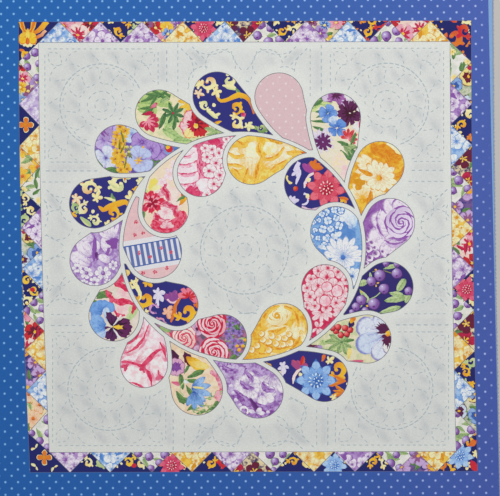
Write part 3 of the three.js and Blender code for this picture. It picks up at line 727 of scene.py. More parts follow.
def print_ia(c):
    a, b, soft = (232, 222, 224), (196, 42, 92), (222, 150, 176)
    c.add([(172, 152), (186, 146), (198, 148), (201, 160), (200, 180), (190, 192), (178, 190), (170, 172)], BLOT, a, (228, 204, 212))
    lines(c, [([(175, 163), (184, 165), (192, 163), (198, 160)], 0.9), ([(176, 173), (185, 174), (193, 173), (199, 171)], 0.9),
              ([(177, 184), (186, 184), (194, 183), (199, 180)], 0.9), ([(180, 156), (188, 156), (195, 152)], 0.7)], b, soft, a)
    lines(c, [([(197, 146), (200, 155), (199.5, 166), (202, 176), (197, 185), (188, 194)], 1.5), ([(201, 150), (204, 160), (203, 170)], 0.9)], b, soft)
    blob(c, 214, 143, 5.6, b, (208, 74, 112), BLOT, seed=3, rough=0.3)
    blob(c, 204, 185, 6.8, a, (226, 196, 206), BLOT, 18, 1.1, 40, 0.06)
    blob(c, 191, 194, 6.5, b, (208, 74, 112), BLOT, 14, 1.3, -20, 0.25)
    for k, (x, y, r) in enumerate(((207, 157, 6.4), (216, 163, 7), (209, 171, 7.4), (219, 153, 5.6), (227, 147, 5.4), (220, 175, 6.6), (212, 149.5, 5.4),
                                   (233, 141, 5), (214, 184, 6.6), (207, 195, 5), (225, 167, 5.6), (239, 137, 4), (205, 148, 4.8), (226, 139, 4), (222, 184, 4.6))):
        flower(c, x, y, r, 5 + k % 2, a, b, 27 * k, wide=0.56, point=0.1, m=10, kind=LINED)
        disc(c, x, y, r * 0.16, b, b, n=6)


def print_ib(c):
    pale, shade, deep = (236, 230, 200), (222, 178, 70), (208, 128, 30)
    for x, y, d, L, w in ((250, 158, 178, 24, 13), (251, 180, -86, 40, 8.5), (262, 168, -38, 34, 10), (268, 150, 6, 26, 9.5), (292, 152, 4, 18, 5.5), (238, 147, 30, 18, 6)):
        petal(c, x, y, d, L, w, pale, shade, PETAL, 0, 0.7, 16)
    blob(c, 270, 148, 6.5, pale, (230, 210, 140), BLOT, 14, 1.1, 0, 0.06, 2)
    blob(c, 252, 150, 6.0, pale, (234, 222, 176), BLOT, 14, 1.3, 70, 0.08, 3)
    lines(c, [([(244, 184), (245, 176), (248, 168)], 1.4), ([(254, 184), (256, 176), (258, 166), (262, 156)], 1.3), ([(262, 156), (258, 148), (260, 141)], 1.2),
              ([(228, 152), (236, 156), (244, 154)], 0.9), ([(226, 164), (234, 164), (243, 166)], 0.8), ([(262, 158), (270, 158), (278, 154), (284, 146)], 0.9),
              ([(286, 152), (296, 152), (306, 152)], 1.2), ([(236, 140), (243, 144), (248, 141)], 1.4), ([(270, 170), (278, 164), (286, 160)], 0.9),
              ([(240, 176), (236, 170), (232, 168)], 0.7)], deep, shade, (226, 190, 90))
    petal(c, 266, 138, 20, 18, 2.4, "amber", shade, BLOT)
    petal(c, 300, 152, 14, 14, 2.2, "amber", (208, 100, 40), BLOT)


def print_ic(c):
    lilac = (208, 202, 222)
    ribbon(c, curve([(299, 162), (297, 168), (299, 174), (296, 184)], 10), [1.6, 1.8, 2.2, 3.0, 2.8, 2.4, 2.0, 1.8, 1.4, 0.8], lilac, (180, 170, 208))
    star(c, 297, 172, 6, 150, lilac, (186, 176, 212))
    ribbon(c, ring_arc(292, 178, 5.0, 90, 210), 1.1, "lemon", "gold")
    disc(c, 295.5, 188.7, 2.3, "red", "orange", BERRY)
    fan(c, 309, 173, (-120, -92, -64, -40), 10, 3.2, (150, 66, 140), (190, 90, 150), WASH, 0.2)
    fan(c, 314, 169, (-110, -80, -45, -10), 9, 3.0, "orange", "red", WASH, 0.3)
    ribbon(c, curve([(304, 188), (306, 181), (310, 175), (317, 172)], 10), [0.5, 1.0, 1.3, 1.3, 1.2, 1.1, 1.0, 1.0, 0.9, 0.8], (226, 206, 206), lilac)
    disc(c, 308.5, 180, 2.4, "cream", "peach")
    ribbon(c, ring_arc(303, 199, 5.4, -80, 100), 1.0, lilac, "cream")
    disc(c, 307.5, 196, 2.3, "cream", "peach")
    fan(c, 291, 203, (-130, -95, -60, -25), 8, 2.6, lilac, (180, 170, 208), WASH, 0.2)
    ribbon(c, curve([(302, 207), (310, 209.5), (319, 208), (327, 203)], 9), 0.9, (208, 180, 200), "mauve")
    petal(c, 338, 197, 14, 11, 2.6, "orange", "red", WASH, 0.3)
    scroll(c, 344, 203, 60, 4.0, -1, "gold", "orange", leaves=1)
    petal(c, 340, 190, -30, 9, 2.2, "pgreen", "green", WASH, 0.3)
    star(c, 350, 211, 4, 0, "cream", "gold")
    lotus(c, 326, 188, 18.5, (206, 76, 98), (168, 24, 52), -80, (232, 206, 204), (218, 106, 122))


def print_id(c):
    pale, deep = (220, 226, 232), (92, 138, 198)
    petal(c, 353, 228, 246, 26, 13, pale, (176, 200, 226), PETAL, 0, 0.6, 16, 0.05)
    petal(c, 353, 228, 206, 20, 7, pale, "sky", PETAL, 0, 0.6, 14, 0.05)
    blob(c, 345, 233, 8.5, deep, (80, 126, 190), BLOT, 18, 1.2, 30, 0.22, 2)
    for k, (x, y) in enumerate(((326, 212), (334, 210), (319, 220), (328, 220.5), (336, 218), (315, 230), (323, 229), (331, 229), (318, 238), (327, 238), (341, 211), (311, 237),
                                (335, 236), (322, 214), (314, 222), (339, 226), (324, 245), (312, 245))):
        r = (4.3, 3.4, 2.6)[k % 3]
        disc(c, x, y, r + 0.6, (74, 118, 186), (74, 118, 186), n=12)
        flower(c, x, y, r, 4, pale, (150, 184, 220), 40 * k, wide=0.66, m=9)
    for x, y, d, L, w in ((316, 246, 10, 17, 3.4), (330, 240, -34, 15, 3.4), (315, 252, 28, 17, 3.4), (327, 256, -80, 14, 3.0), (336, 244, 40, 12, 3.0)):
        petal(c, x, y, d, L, w, pale, deep, LINED, 0.3, 0.5, 12)
    fan(c, 343, 257, (-168, -146, -124, -102, -80, -58, -36, -14, 8), 22, 4.2, (228, 232, 238), (90, 136, 198), LINED, 0.15, 0.45)
    fan(c, 343, 258, (32, 64, 96, 128, 160), 15, 4.0, (224, 230, 238), (90, 136, 198), LINED, 0.15, 0.45)
    disc(c, 343, 257.5, 2.4, (74, 118, 190), "dblue")
    fan(c, 352, 276, range(-170, 190, 42), 10, 3.4, pale, deep, LINED, 0.15, 0.45)
    disc(c, 352, 276, 1.6, (74, 118, 190), "dblue")


def print_ie(c):
    a, b = (230, 206, 210), (198, 44, 84)
    pts = [(318, 271, 6), (328, 268, 7), (338, 272, 6.5), (346, 280, 6), (311, 279, 6), (307, 288, 6), (342, 292, 7.5), (310, 297, 6.5), (336, 303, 6.5), (315, 306, 6),
           (327, 277, 9), (318, 286, 8), (324, 296, 9.5), (334, 288, 10), (307, 305, 4.5), (344, 302, 5), (326, 308, 6)]
    for k, (x, y, r) in enumerate(pts):
        flower(c, x, y, r, 4 if r > 8 else 5, a, b, 41 * k, wide=0.62 if r > 8 else 0.54, uneven=0.12, neck=0.5, m=11, ragged=0.05, kind=LINED)
        disc(c, x, y, r * 0.13, b, b, n=6)
    for x, y, r in ((337, 291, 5.6), (327, 287, 5.0), (325, 301, 5.6)):
        disc(c, x, y, r + 0.7, b, b, n=14)
        disc(c, x, y, r, a, (226, 160, 176), BLOT, n=14)
    fan(c, 322, 312, (20, 55, 95, 140, 175), 12, 3.0, a, b, LINED, 0.5, 0.4)
    fan(c, 341, 311, (150, 190, 235, 280, 330), 9, 2.6, a, b, LINED, 0.5, 0.4)
    fan(c, 318, 328, (40, 90, 150, 250, 310), 8, 2.2, a, b, LINED, 0.5, 0.4)
    fan(c, 308, 334, (60, 150, 250), 6, 1.8, a, b, LINED, 0.5, 0.4)


def print_if(c):
    pale, shade, deep = (236, 228, 192), (224, 180, 70), (208, 130, 30)
    for x, y, d, L, w in ((296, 306, 165, 30, 10), (262, 328, -32, 34, 9.5), (262, 336, -14, 30, 7), (300, 318, 100, 22, 8), (258, 362, -24, 40, 9.5), (300, 330, 62, 14, 5), (262, 346, -60, 20, 6)):
        petal(c, x, y, d, L, w, pale, shade, PETAL, 0, 0.7, 16)
    rose(c, 277, 316, 10.5, (238, 230, 188), (216, 158, 44), 40, rings=3, open_=1.05)
    lines(c, [([(262, 326), (264, 317), (270, 309), (279, 305)], 1.1), ([(284, 306), (292, 309), (297, 316), (298, 326)], 1.0), ([(268, 331), (277, 331), (286, 327)], 1.4),
              ([(262, 343), (270, 347), (280, 349), (290, 346)], 1.5), ([(286, 352), (280, 356), (270, 360)], 1.0), ([(300, 336), (296, 344), (290, 350)], 1.4),
              ([(254, 350), (262, 354), (270, 353)], 1.0)], deep, shade, (226, 190, 90))
    for k, (x, y) in enumerate(((272, 336), (278.5, 338), (285, 338.5), (269, 342), (276, 344), (283, 345), (263, 340), (290.5, 343), (257, 346), (252, 350), (289, 334.5), (261.5, 334), (269, 350))):
        disc(c, x, y, 3.5, (210, 138, 30), "amber", n=11)
        disc(c, x - 0.2, y - 0.2, 2.9, pale, (224, 176, 60), BERRY, n=11)


def print_ig(c):
    for x, y, r, d in ((197, 329, 7.5, 0), (199, 351, 7, 20), (189, 320, 6, 40), (186, 354, 5, 10)):
        flower(c, x, y, r, 5, (206, 170, 196), "mauve", d, wide=0.56, kind=LINED)
        disc(c, x, y, r * 0.2, "plum", "plum", n=6)
    for k, (x, y, d) in enumerate(((224, 342, -30), (228, 352, -60), (230, 322, 40), (236, 340, 0), (225, 331, -10), (232, 350, 30), (240, 330, -60), (228, 362, -40), (244, 350, 80),
                                   (238, 356, 20), (222, 316, 60), (246, 336, 100), (234, 318, -10))):
        leaf(c, x, y, d, 12, 3.4, "green" if k % 3 else "pgreen", (36, 76, 56))
    for k, (x, y) in enumerate(((230, 325), (236, 321), (233, 331), (239, 333), (229, 338), (235, 341), (241, 342), (227, 346), (233, 347), (230, 318), (226, 333), (243, 327), (237, 352))):
        flower(c, x, y, 4.0, 5, (156, 128, 196), (74, 44, 120), 30 * k, wide=0.48, m=8)
    for x, y in ((243, 346), (239, 350), (245, 340), (242, 356), (246, 351), (237, 346)):
        disc(c, x, y, 1.9, "gold", "orange", n=7)
    rose(c, 184, 338, 13, (238, 208, 202), (206, 66, 92), 30, open_=0.62)
    petal(c, 171, 333, 150, 14, 6.0, (234, 200, 196), (200, 56, 86), LINED, 0, 0.6, 13)
    petal(c, 173, 341, 196, 14, 5.0, (232, 204, 196), (204, 76, 96), LINED, 0, 0.6, 13)
    rose(c, 212, 324, 15, (240, 194, 202), (192, 32, 66), 10, open_=0.56)
    rose(c, 213.5, 352.5, 15.5, (242, 200, 206), (194, 34, 70), 70, open_=0.58)
    petal(c, 159, 327, 20, 12, 3.0, "pgreen", "green", LEAF)


def print_ih(c):
    ribbon(c, curve([(131, 280), (137, 287), (140, 296), (137, 303)], 10), [0.8, 1.4, 1.8, 2.0, 2.0, 2.0, 2.0, 1.8, 1.4, 0.8], "cream", "gold")
    scroll(c, 132, 284, 300, 4.8, -1, "cream", "gold", leaves=1)
    scroll(c, 145, 299, 200, 7.8, 1, "gold", "orange")
    star(c, 147, 283, 7.6, -30, "gold", "orange")
    star(c, 158, 293, 9.0, 60, (212, 208, 222), (180, 172, 208))
    petal(c, 158, 294, 95, 14, 2.4, (212, 208, 222), (180, 172, 208), WASH, 0.2, 0.6, 10)
    fan(c, 173, 304, (-130, -105, -80, -55), 13, 3.6, (134, 70, 140), (186, 90, 130), WASH, 0.1)
    ribbon(c, ring_arc(173, 296, 6.5, 20, 150), 0.9, (226, 190, 200), "lav")
    fan(c, 189, 297, (-170, -130, -90, -50, -10, 30), 11, 3.4, (222, 120, 140), "red", RAGGED, 0, 0.5, 0.12)
    ribbon(c, ring_arc(154, 309, 4.2, 60, 350), 1.0, (200, 150, 190), (150, 80, 150))
    star(c, 167.5, 312, 9, 10, (230, 176, 150), "orange")
    scroll(c, 126, 272, 250, 4.6, 1, "gold", "cream", leaves=1)
    star(c, 146, 312, 5.4, 120, "cream", "gold")
    ribbon(c, curve([(171, 322), (174, 313), (176, 304), (181, 298)], 10), [0.8, 1.6, 2.0, 2.0, 1.8, 1.6, 1.4, 1.4, 1.2, 0.6], "orange", "red")
    scroll(c, 187, 312, 170, 8.4, 1, "gold", "orange")
    scroll(c, 160, 322, 40, 4.4, 1, (206, 140, 170), "mauve", leaves=1)
    star(c, 196, 305, 4.6, 0, "orange", "red")
    for x, y in ((153, 306), (151, 311), (156, 304), (155, 313)):
        disc(c, x, y, 0.9, "purple", "mauve", n=6)


def print_ii(c):
    # a plain filler print: one straight band of narrow blue and white stripes, rows of red sprigs on it and beside it
    band = [(120, 247), (190, 235), (192, 258), (122, 270)]
    t = math.radians(-10)
    m = np.array([[math.cos(t) / 5.6, math.sin(t) / 5.6, 0.3], [0, 0, 0]])
    c.add(band, STRIPE, (210, 210, 216), (92, 110, 166), m)
    for dy, w, tone in ((-2.2, 2.4, (212, 212, 216)), (24.6, 2.4, (212, 212, 216)), (0.6, 0.6, "dblue"), (22.4, 0.6, "dblue")):
        stroke(c, [(119, 247.2 + dy), (155, 241.0 + dy), (191, 234.8 + dy)], w, w, tone, tone)
    rng = np.random.default_rng(5)
    for x, y in ((140, 210), (136, 222), (147, 220), (143, 233), (156, 231), (135, 235), (168, 230), (139, 253), (150, 257), (161, 248), (171, 252),
                 (143, 273), (155, 272), (167, 268)):
        flower(c, x, y, 2.1, 5, (206, 96, 112), "crimson", rng.uniform(0, 90), wide=0.5, m=6)


def print_ij(c):
    petal(c, 149, 194, -68, 17, 5.2, (226, 206, 96), (206, 206, 120), PETAL, ragged=0.12)
    petal(c, 147, 200, -100, 12, 3.8, (188, 204, 140), "lemon", PETAL, ragged=0.1)
    fan(c, 158, 207, (-75, -42, -10), 27, 8.5, (230, 214, 204), (224, 184, 180), PETAL, 0, 0.6, 0.05)
    fan(c, 166, 212, (-60, 0, 60, 120, 180, 240), 10, 5.4, (230, 214, 212), (222, 160, 176), LINED, 0, 0.5, 0.06)
    fan(c, 152, 202, (-140, -95, -50, -5, 45, 95, 140), 12, 4.6, (200, 30, 66), (224, 150, 166), RAGGED, 0.1, 0.5, 0.16)
    fan(c, 153, 203, (-120, -30, 60, 150), 6.5, 2.6, (150, 18, 46), "crimson", WASH, 0.2, 0.5, 0.25)
    petal(c, 157, 195, -20, 12, 4.2, (228, 176, 186), "rose", LINED, 0, 0.5, 12, 0.14)
    lines(c, [([(160, 205), (166, 203), (172, 206), (177, 206)], 1.4), ([(177, 205), (175, 211), (177, 217)], 1.3), ([(169, 200), (167, 193), (163, 188), (166, 182)], 1.5),
              ([(155, 212), (157, 220), (153, 224)], 2.0), ([(158, 216), (164, 220), (170, 219)], 1.0)], (196, 34, 70), "rose", (226, 180, 186))
    lines(c, [([(152, 221), (159, 227), (167, 230), (175, 227), (181, 219), (180, 210)], 4.0)], (200, 34, 70), (220, 110, 134))
    fan(c, 167, 228, (200, 235, 270, 305, 340), 8, 2.4, (228, 190, 194), "rose", LINED, 0.2)
    petal(c, 179, 206, -55, 14, 3.6, "gold", "orange", PETAL)
    petal(c, 182, 198, -80, 9, 2.4, "orange", "red", PETAL)
    leaf(c, 176, 202, -35, 13, 2.0, "green", "dgreen")
    leaf(c, 144, 210, 100, 10, 2.6, "green", "dgreen")
    petal(c, 150, 190, -20, 12, 3.2, (222, 222, 170), "lemon", PETAL)
    for x, y, r in ((170, 174, 7), (175, 164, 5.4), (162, 182, 4.6)):
        flower(c, x, y, r, 5, (226, 212, 216), (222, 172, 190), 10, wide=0.5, m=9, kind=LINED)
    leaf(c, 181, 158, -60, 10, 2.6, "sky", "dgreen")


# ground of each feather: kind and two colours
GROUNDS = {
    "o1": (BLOT, (224, 212, 180), (198, 202, 156)), "o2": (WASH, "navy", "navy"), "o3": (DOTS, (206, 178, 182), (216, 202, 204)),
    "o4": (BLOT, (220, 212, 194), (214, 208, 176)), "o5": (BLOT, (226, 184, 66), (210, 142, 30)), "o6": (BLOT, (150, 100, 170), (124, 70, 150)),
    "o7": (WASH, (46, 38, 104), "navy"), "o8": (BLOT, (216, 208, 178), (188, 196, 150)), "o9": (WASH, "navy", "navy"),
    "o10": (BLOT, (186, 162, 206), (132, 86, 160)), "o11": (BLOT, (226, 208, 182), (216, 190, 160)), "o12": (BLOT, (232, 222, 224), (226, 192, 202)),
    "o13": (BLOT, (216, 206, 194), (208, 196, 180)), "o14": (BLOT, (186, 166, 206), (146, 106, 174)), "o15": (WASH, "navy", "navy"),
    "o16": (BLOT, (150, 120, 188), (96, 78, 150)), "ia": (BLOT, (214, 120, 150), (194, 48, 96)), "ib": (BLOT, (230, 206, 110), (220, 172, 52)),
    "ic": (WASH, "navy", "navy"), "id": (BLOT, (128, 168, 212), (90, 136, 198)), "ie": (BLOT, (204, 60, 98), (188, 36, 78)),
    "if": (BLOT, (228, 192, 80), (212, 146, 34)), "ig": (BLOT, (168, 104, 138), (96, 84, 104)), "ih": (WASH, "navy", "navy"),
    "ii": (BLOT, (216, 182, 184), (212, 176, 180)), "ij": (BLOT, (224, 210, 184), (222, 202, 180))}

# ------------------------------------------------------------------ the wreath's outlines
SPINE = dict(x=242.5, y=247.5, rx=121.5, ry=114.0)
BAND = 3.9                       # white gap between neighbouring feathers
# name, head x, head y, head radius, tip x, tip y, fullness (smaller is fatter), bend
OUTER = [
    ("o1", 159, 113.5, 24.0, 232, 131.5, 0.50, 0.10), ("o2", 217, 96, 24.5, 277, 133, 0.55, 0.12),
    ("o3", 279, 97, 24.5, 315.5, 147.5, 0.62, 0.12), ("o4", 335.5, 118, 25.5, 351, 187, 0.55, 0.10),
    ("o5", 380, 165.5, 24.5, 362, 219.5, 0.62, 0.10), ("o6", 390, 223, 25.0, 365, 268, 0.60, 0.10),
    ("o7", 388, 287, 25.5, 347, 316, 0.60, 0.10), ("o8", 367, 339, 24.5, 301, 352, 0.55, 0.10),
    ("o9", 324.5, 378, 24.0, 259, 365, 0.60, 0.10), ("o10", 258, 393, 25.5, 212, 363, 0.60, 0.10),
    ("o11", 197, 389.5, 26.0, 166, 342, 0.55, 0.10), ("o12", 144, 364, 24.0, 139.5, 316, 0.60, 0.10),
    ("o13", 114, 316, 25.5, 120, 265, 0.60, 0.10), ("o14", 95, 260.5, 25.5, 123, 216, 0.60, 0.10),
    ("o15", 94, 203.5, 25.0, 148, 173, 0.60, 0.10), ("o16", 119, 149, 24.5, 184, 146, 0.58, 0.10)]
INNER = [
    ("ia", 201, 173, 24.0, 244, 135, 0.60, 0.10), ("ib", 251.5, 160, 24.8, 315, 153, 0.55, 0.10),
    ("ic", 310.5, 183.5, 26.5, 356, 215, 0.60, 0.10), ("id", 336, 232, 25.8, 353, 287, 0.60, 0.10),
    ("ie", 325, 288, 23.8, 306, 341, 0.60, 0.10), ("if", 283, 328, 25.0, 234, 360.5, 0.60, 0.10),
    ("ig", 222, 339, 25.0, 154, 325, 0.60, 0.10), ("ih", 177, 305, 21.5, 124, 265, 0.55, 0.10),
    ("ii", 155, 252, 27.0, 137, 199, 0.60, 0.10), ("ij", 165.5, 210, 23.5, 186, 151, 0.60, 0.10)]


def feather_discs(row, n=26):
    _, hx, hy, r, tx, ty, q, bend = row
    h, t = np.array([hx, hy], float), np.array([tx, ty], float)
    ang = math.atan2((ty - SPINE["y"]) / SPINE["ry"], (tx - SPINE["x"]) / SPINE["rx"])
    tan = np.array([-SPINE["rx"] * math.sin(ang), SPINE["ry"] * math.cos(ang)])
    tan /= np.linalg.norm(tan)
    ctrl = t - tan * np.linalg.norm(t - h) * (0.30 + bend)
    s = np.linspace(0, 1, n)
    p = ((1 - s) ** 2)[:, None] * h + (2 * s * (1 - s))[:, None] * ctrl + (s ** 2)[:, None] * t
    return p, r * (1 - s) ** q


def feather_field(row, X, Y, n=60):
    p, rad = feather_discs(row, n)
    d = np.full(X.shape, 1e9)
    for (x, y), r in zip(p, rad):
        d = np.minimum(d, np.hypot(X - x, Y - y) - r)
    return d


def spine_field(X, Y):
    u, v = (X - SPINE["x"]) / SPINE["rx"], (Y - SPINE["y"]) / SPINE["ry"]
    k = np.hypot(u, v)
    return (k - 1) / np.maximum(np.hypot(u / SPINE["rx"], v / SPINE["ry"]) / np.maximum(k, 1e-9), 1e-9)


def patch_field(rows, i, X, Y, side):
    f = np.maximum(feather_field(rows[i], X, Y), BAND - feather_field(rows[(i + 1) % len(rows)], X, Y))
    return np.maximum(f, side * -spine_field(X, Y) + BAND * 0.42)


def marching(F, x0, y0, h):
    """closed zero lines of F, longest first"""
    ins = F < 0
    table = {1: [(3, 0)], 2: [(0, 1)], 4: [(1, 2)], 8: [(2, 3)], 3: [(3, 1)], 6: [(0, 2)], 12: [(1, 3)], 9: [(2, 0)],
             14: [(0, 3)], 13: [(1, 0)], 11: [(2, 1)], 7: [(3, 2)], 5: [(3, 0), (1, 2)], 10: [(0, 1), (2, 3)]}

    def point(kind, j, i):
        if kind == 0:
            return x0 + (i + F[j, i] / (F[j, i] - F[j, i + 1])) * h, y0 + j * h
        return x0 + i * h, y0 + (j + F[j, i] / (F[j, i] - F[j + 1, i])) * h

    nxt = {}
    code = ins[:-1, :-1] * 1 + ins[:-1, 1:] * 2 + ins[1:, 1:] * 4 + ins[1:, :-1] * 8
    for j, i in np.argwhere((code > 0) & (code < 15)):
        edges = ((0, j, i), (1, j, i + 1), (0, j + 1, i), (1, j, i))
        for s, e in table[int(code[j, i])]:
            nxt[edges[s]] = edges[e]
    loops = []
    while nxt:
        s0 = next(iter(nxt))
        loop, e = [s0], nxt.pop(s0)
        while e != s0 and e in nxt:
            loop.append(e)
            e = nxt.pop(e)
        loops.append(np.array([point(*k) for k in loop]))
    return sorted(loops, key=lambda q: -len(q))


def simplify(P, tol):
    n = len(P)
    P = np.roll(P, -int(np.argmax(np.hypot(*(P - P.mean(0)).T))), axis=0)
    i1 = int(np.argmax(np.hypot(*(P - P[0]).T)))
    keep = np.zeros(n + 1, bool)
    keep[[0, i1, n]] = True
    Q = np.vstack([P, P[:1]])
    stack = [(0, i1), (i1, n)]
    while stack:
        a, b = stack.pop()
        if b - a < 2:
            continue
        d = Q[b] - Q[a]
        L = np.hypot(*d)
        seg = Q[a + 1:b] - Q[a]
        dist = np.hypot(*seg.T) if L < 1e-9 else np.abs(seg[:, 0] * d[1] - seg[:, 1] * d[0]) / L
        k = int(np.argmax(dist))
        if dist[k] > tol:
            keep[a + 1 + k] = True
            stack += [(a, a + 1 + k), (a + 1 + k, b)]
    return Q[:-1][keep[:-1]]


def patch_outlines(rows, i, side, insets, h=0.5, tol=0.06):
    p, rad = feather_discs(rows[i])
    lo, hi = (p - rad[:, None]).min(0) - 3, (p + rad[:, None]).max(0) + 3
    xs, ys = np.arange(lo[0], hi[0], h), np.arange(lo[1], hi[1], h)
    X, Y = np.meshgrid(xs, ys)
    F = patch_field(rows, i, X, Y, side)
    return [simplify(marching(F + s, xs[0], ys[0], h)[0], tol) for s in insets]


# ------------------------------------------------------------------ the zigzag border
def bowed(a, ya, b, yb, bow):
    return lambda y: a + (b - a) * (y - ya) / (yb - ya) - bow * 4 * (y - 22) * (472 - y) / 450.0 ** 2


OUT_L, OUT_R = bowed(18.6, 22, 30.0, 472, 2.9), bowed(471.3, 21, 477.6, 472, 1.3)
IN_L, IN_R = bowed(39.0, 42, 49.8, 452, 2.6), bowed(450.2, 42, 456.3, 452, 1.3)
OUT_T, OUT_B = (lambda x: 21.9 - 1.5 * (x - 20) / 450), (lambda x: 472.5 - 1.2 * (x - 30) / 440)
IN_T, IN_B = (lambda x: 42.6 - 1.0 * (x - 45) / 400), (lambda x: 452.4 - 1.1 * (x - 50) / 400)
TOP_IN = (39, 80, 120.5, 162.5, 203, 243.5, 285.5, 328, 368, 409, 450)
TOP_OUT = (59, 100, 142, 182.5, 225, 264, 306, 348, 389, 430)
RIGHT_IN = (42, 83.5, 124.5, 167, 207, 248, 289, 330, 370, 410.5, 451.5)
RIGHT_OUT = (62, 104, 145, 187, 228, 269, 310, 351, 391, 432)
LEFT_IN = (42.5, 84, 125, 166, 207.5, 249.5, 290, 331, 371, 411, 452.3)
LEFT_OUT = (62, 104, 146, 188, 228, 269, 310, 350, 391, 433)
BOTTOM_IN = (49.8, 90, 131, 171, 212, 252, 293, 334, 376, 416, 456)
BOTTOM_OUT = (70, 110, 152, 192, 232, 274, 314, 355, 396, 437)


def border_pieces():
    """(points, name of cloth) for every triangle of the border"""
    sides = (
        ([(x, IN_T(x)) for x in TOP_IN], [(x, OUT_T(x)) for x in TOP_OUT],
         "tblue tpurp tpurp tyell tblue berry tpurp tblue berry tyell", "pinkish navyG mixed lotusR maroon navyC mixed navyR crims"),
        ([(IN_R(y), y) for y in RIGHT_IN], [(OUT_R(y), y) for y in RIGHT_OUT],
         "leafy tpurp tblue berry tyell tpurp berry tyell tblue berry", "pansy navyO maroon mauve crims lotusR maroon navyG bluegr"),
        ([(x, IN_B(x)) for x in BOTTOM_IN], [(x, OUT_B(x)) for x in BOTTOM_OUT],
         "tpurp tblue berry tyell tpurp berry tyell tpurp berry tyell", "navyL navyY lotusR navyR maroon navyC lotusB navyC mauve"),
        ([(IN_L(y), y) for y in LEFT_IN], [(OUT_L(y), y) for y in LEFT_OUT],
         "berry tlav tyell leafy tpurp tblue berry tyell tblue berry", "mixed navyQ yellgr navyL pansy navyY hibis mauve peachy"))
    out = []
    for inner, outer, a, b in sides:
        for k, name in enumerate(a.split()):
            out.append(([inner[k], inner[k + 1], outer[k]], name))
        for k, name in enumerate(b.split()):
            out.append(([outer[k], outer[k + 1], inner[k + 1]], name))
    tl, tr = (OUT_L(22), OUT_T(18.6)), (OUT_R(20.4), OUT_T(471.3))
    br, bl = (OUT_R(471.4), OUT_B(477.6)), (OUT_L(472.5), OUT_B(30))
    out.append(([tl, (TOP_OUT[0], OUT_T(59)), (39, IN_T(39)), (OUT_L(62), 62)], "cornerTL"))
    out.append(([tr, (OUT_R(62), 62), (IN_R(42), 41.6), (TOP_OUT[-1], OUT_T(430))], "cornerTR"))
    out.append(([br, (BOTTOM_OUT[-1], OUT_B(437)), (456, IN_B(456)), (OUT_R(432), 432)], "cornerBR"))
    out.append(([bl, (OUT_L(433), 433), (49.8, IN_B(49.8)), (BOTTOM_OUT[0], OUT_B(70))], "cornerBL"))
    return out


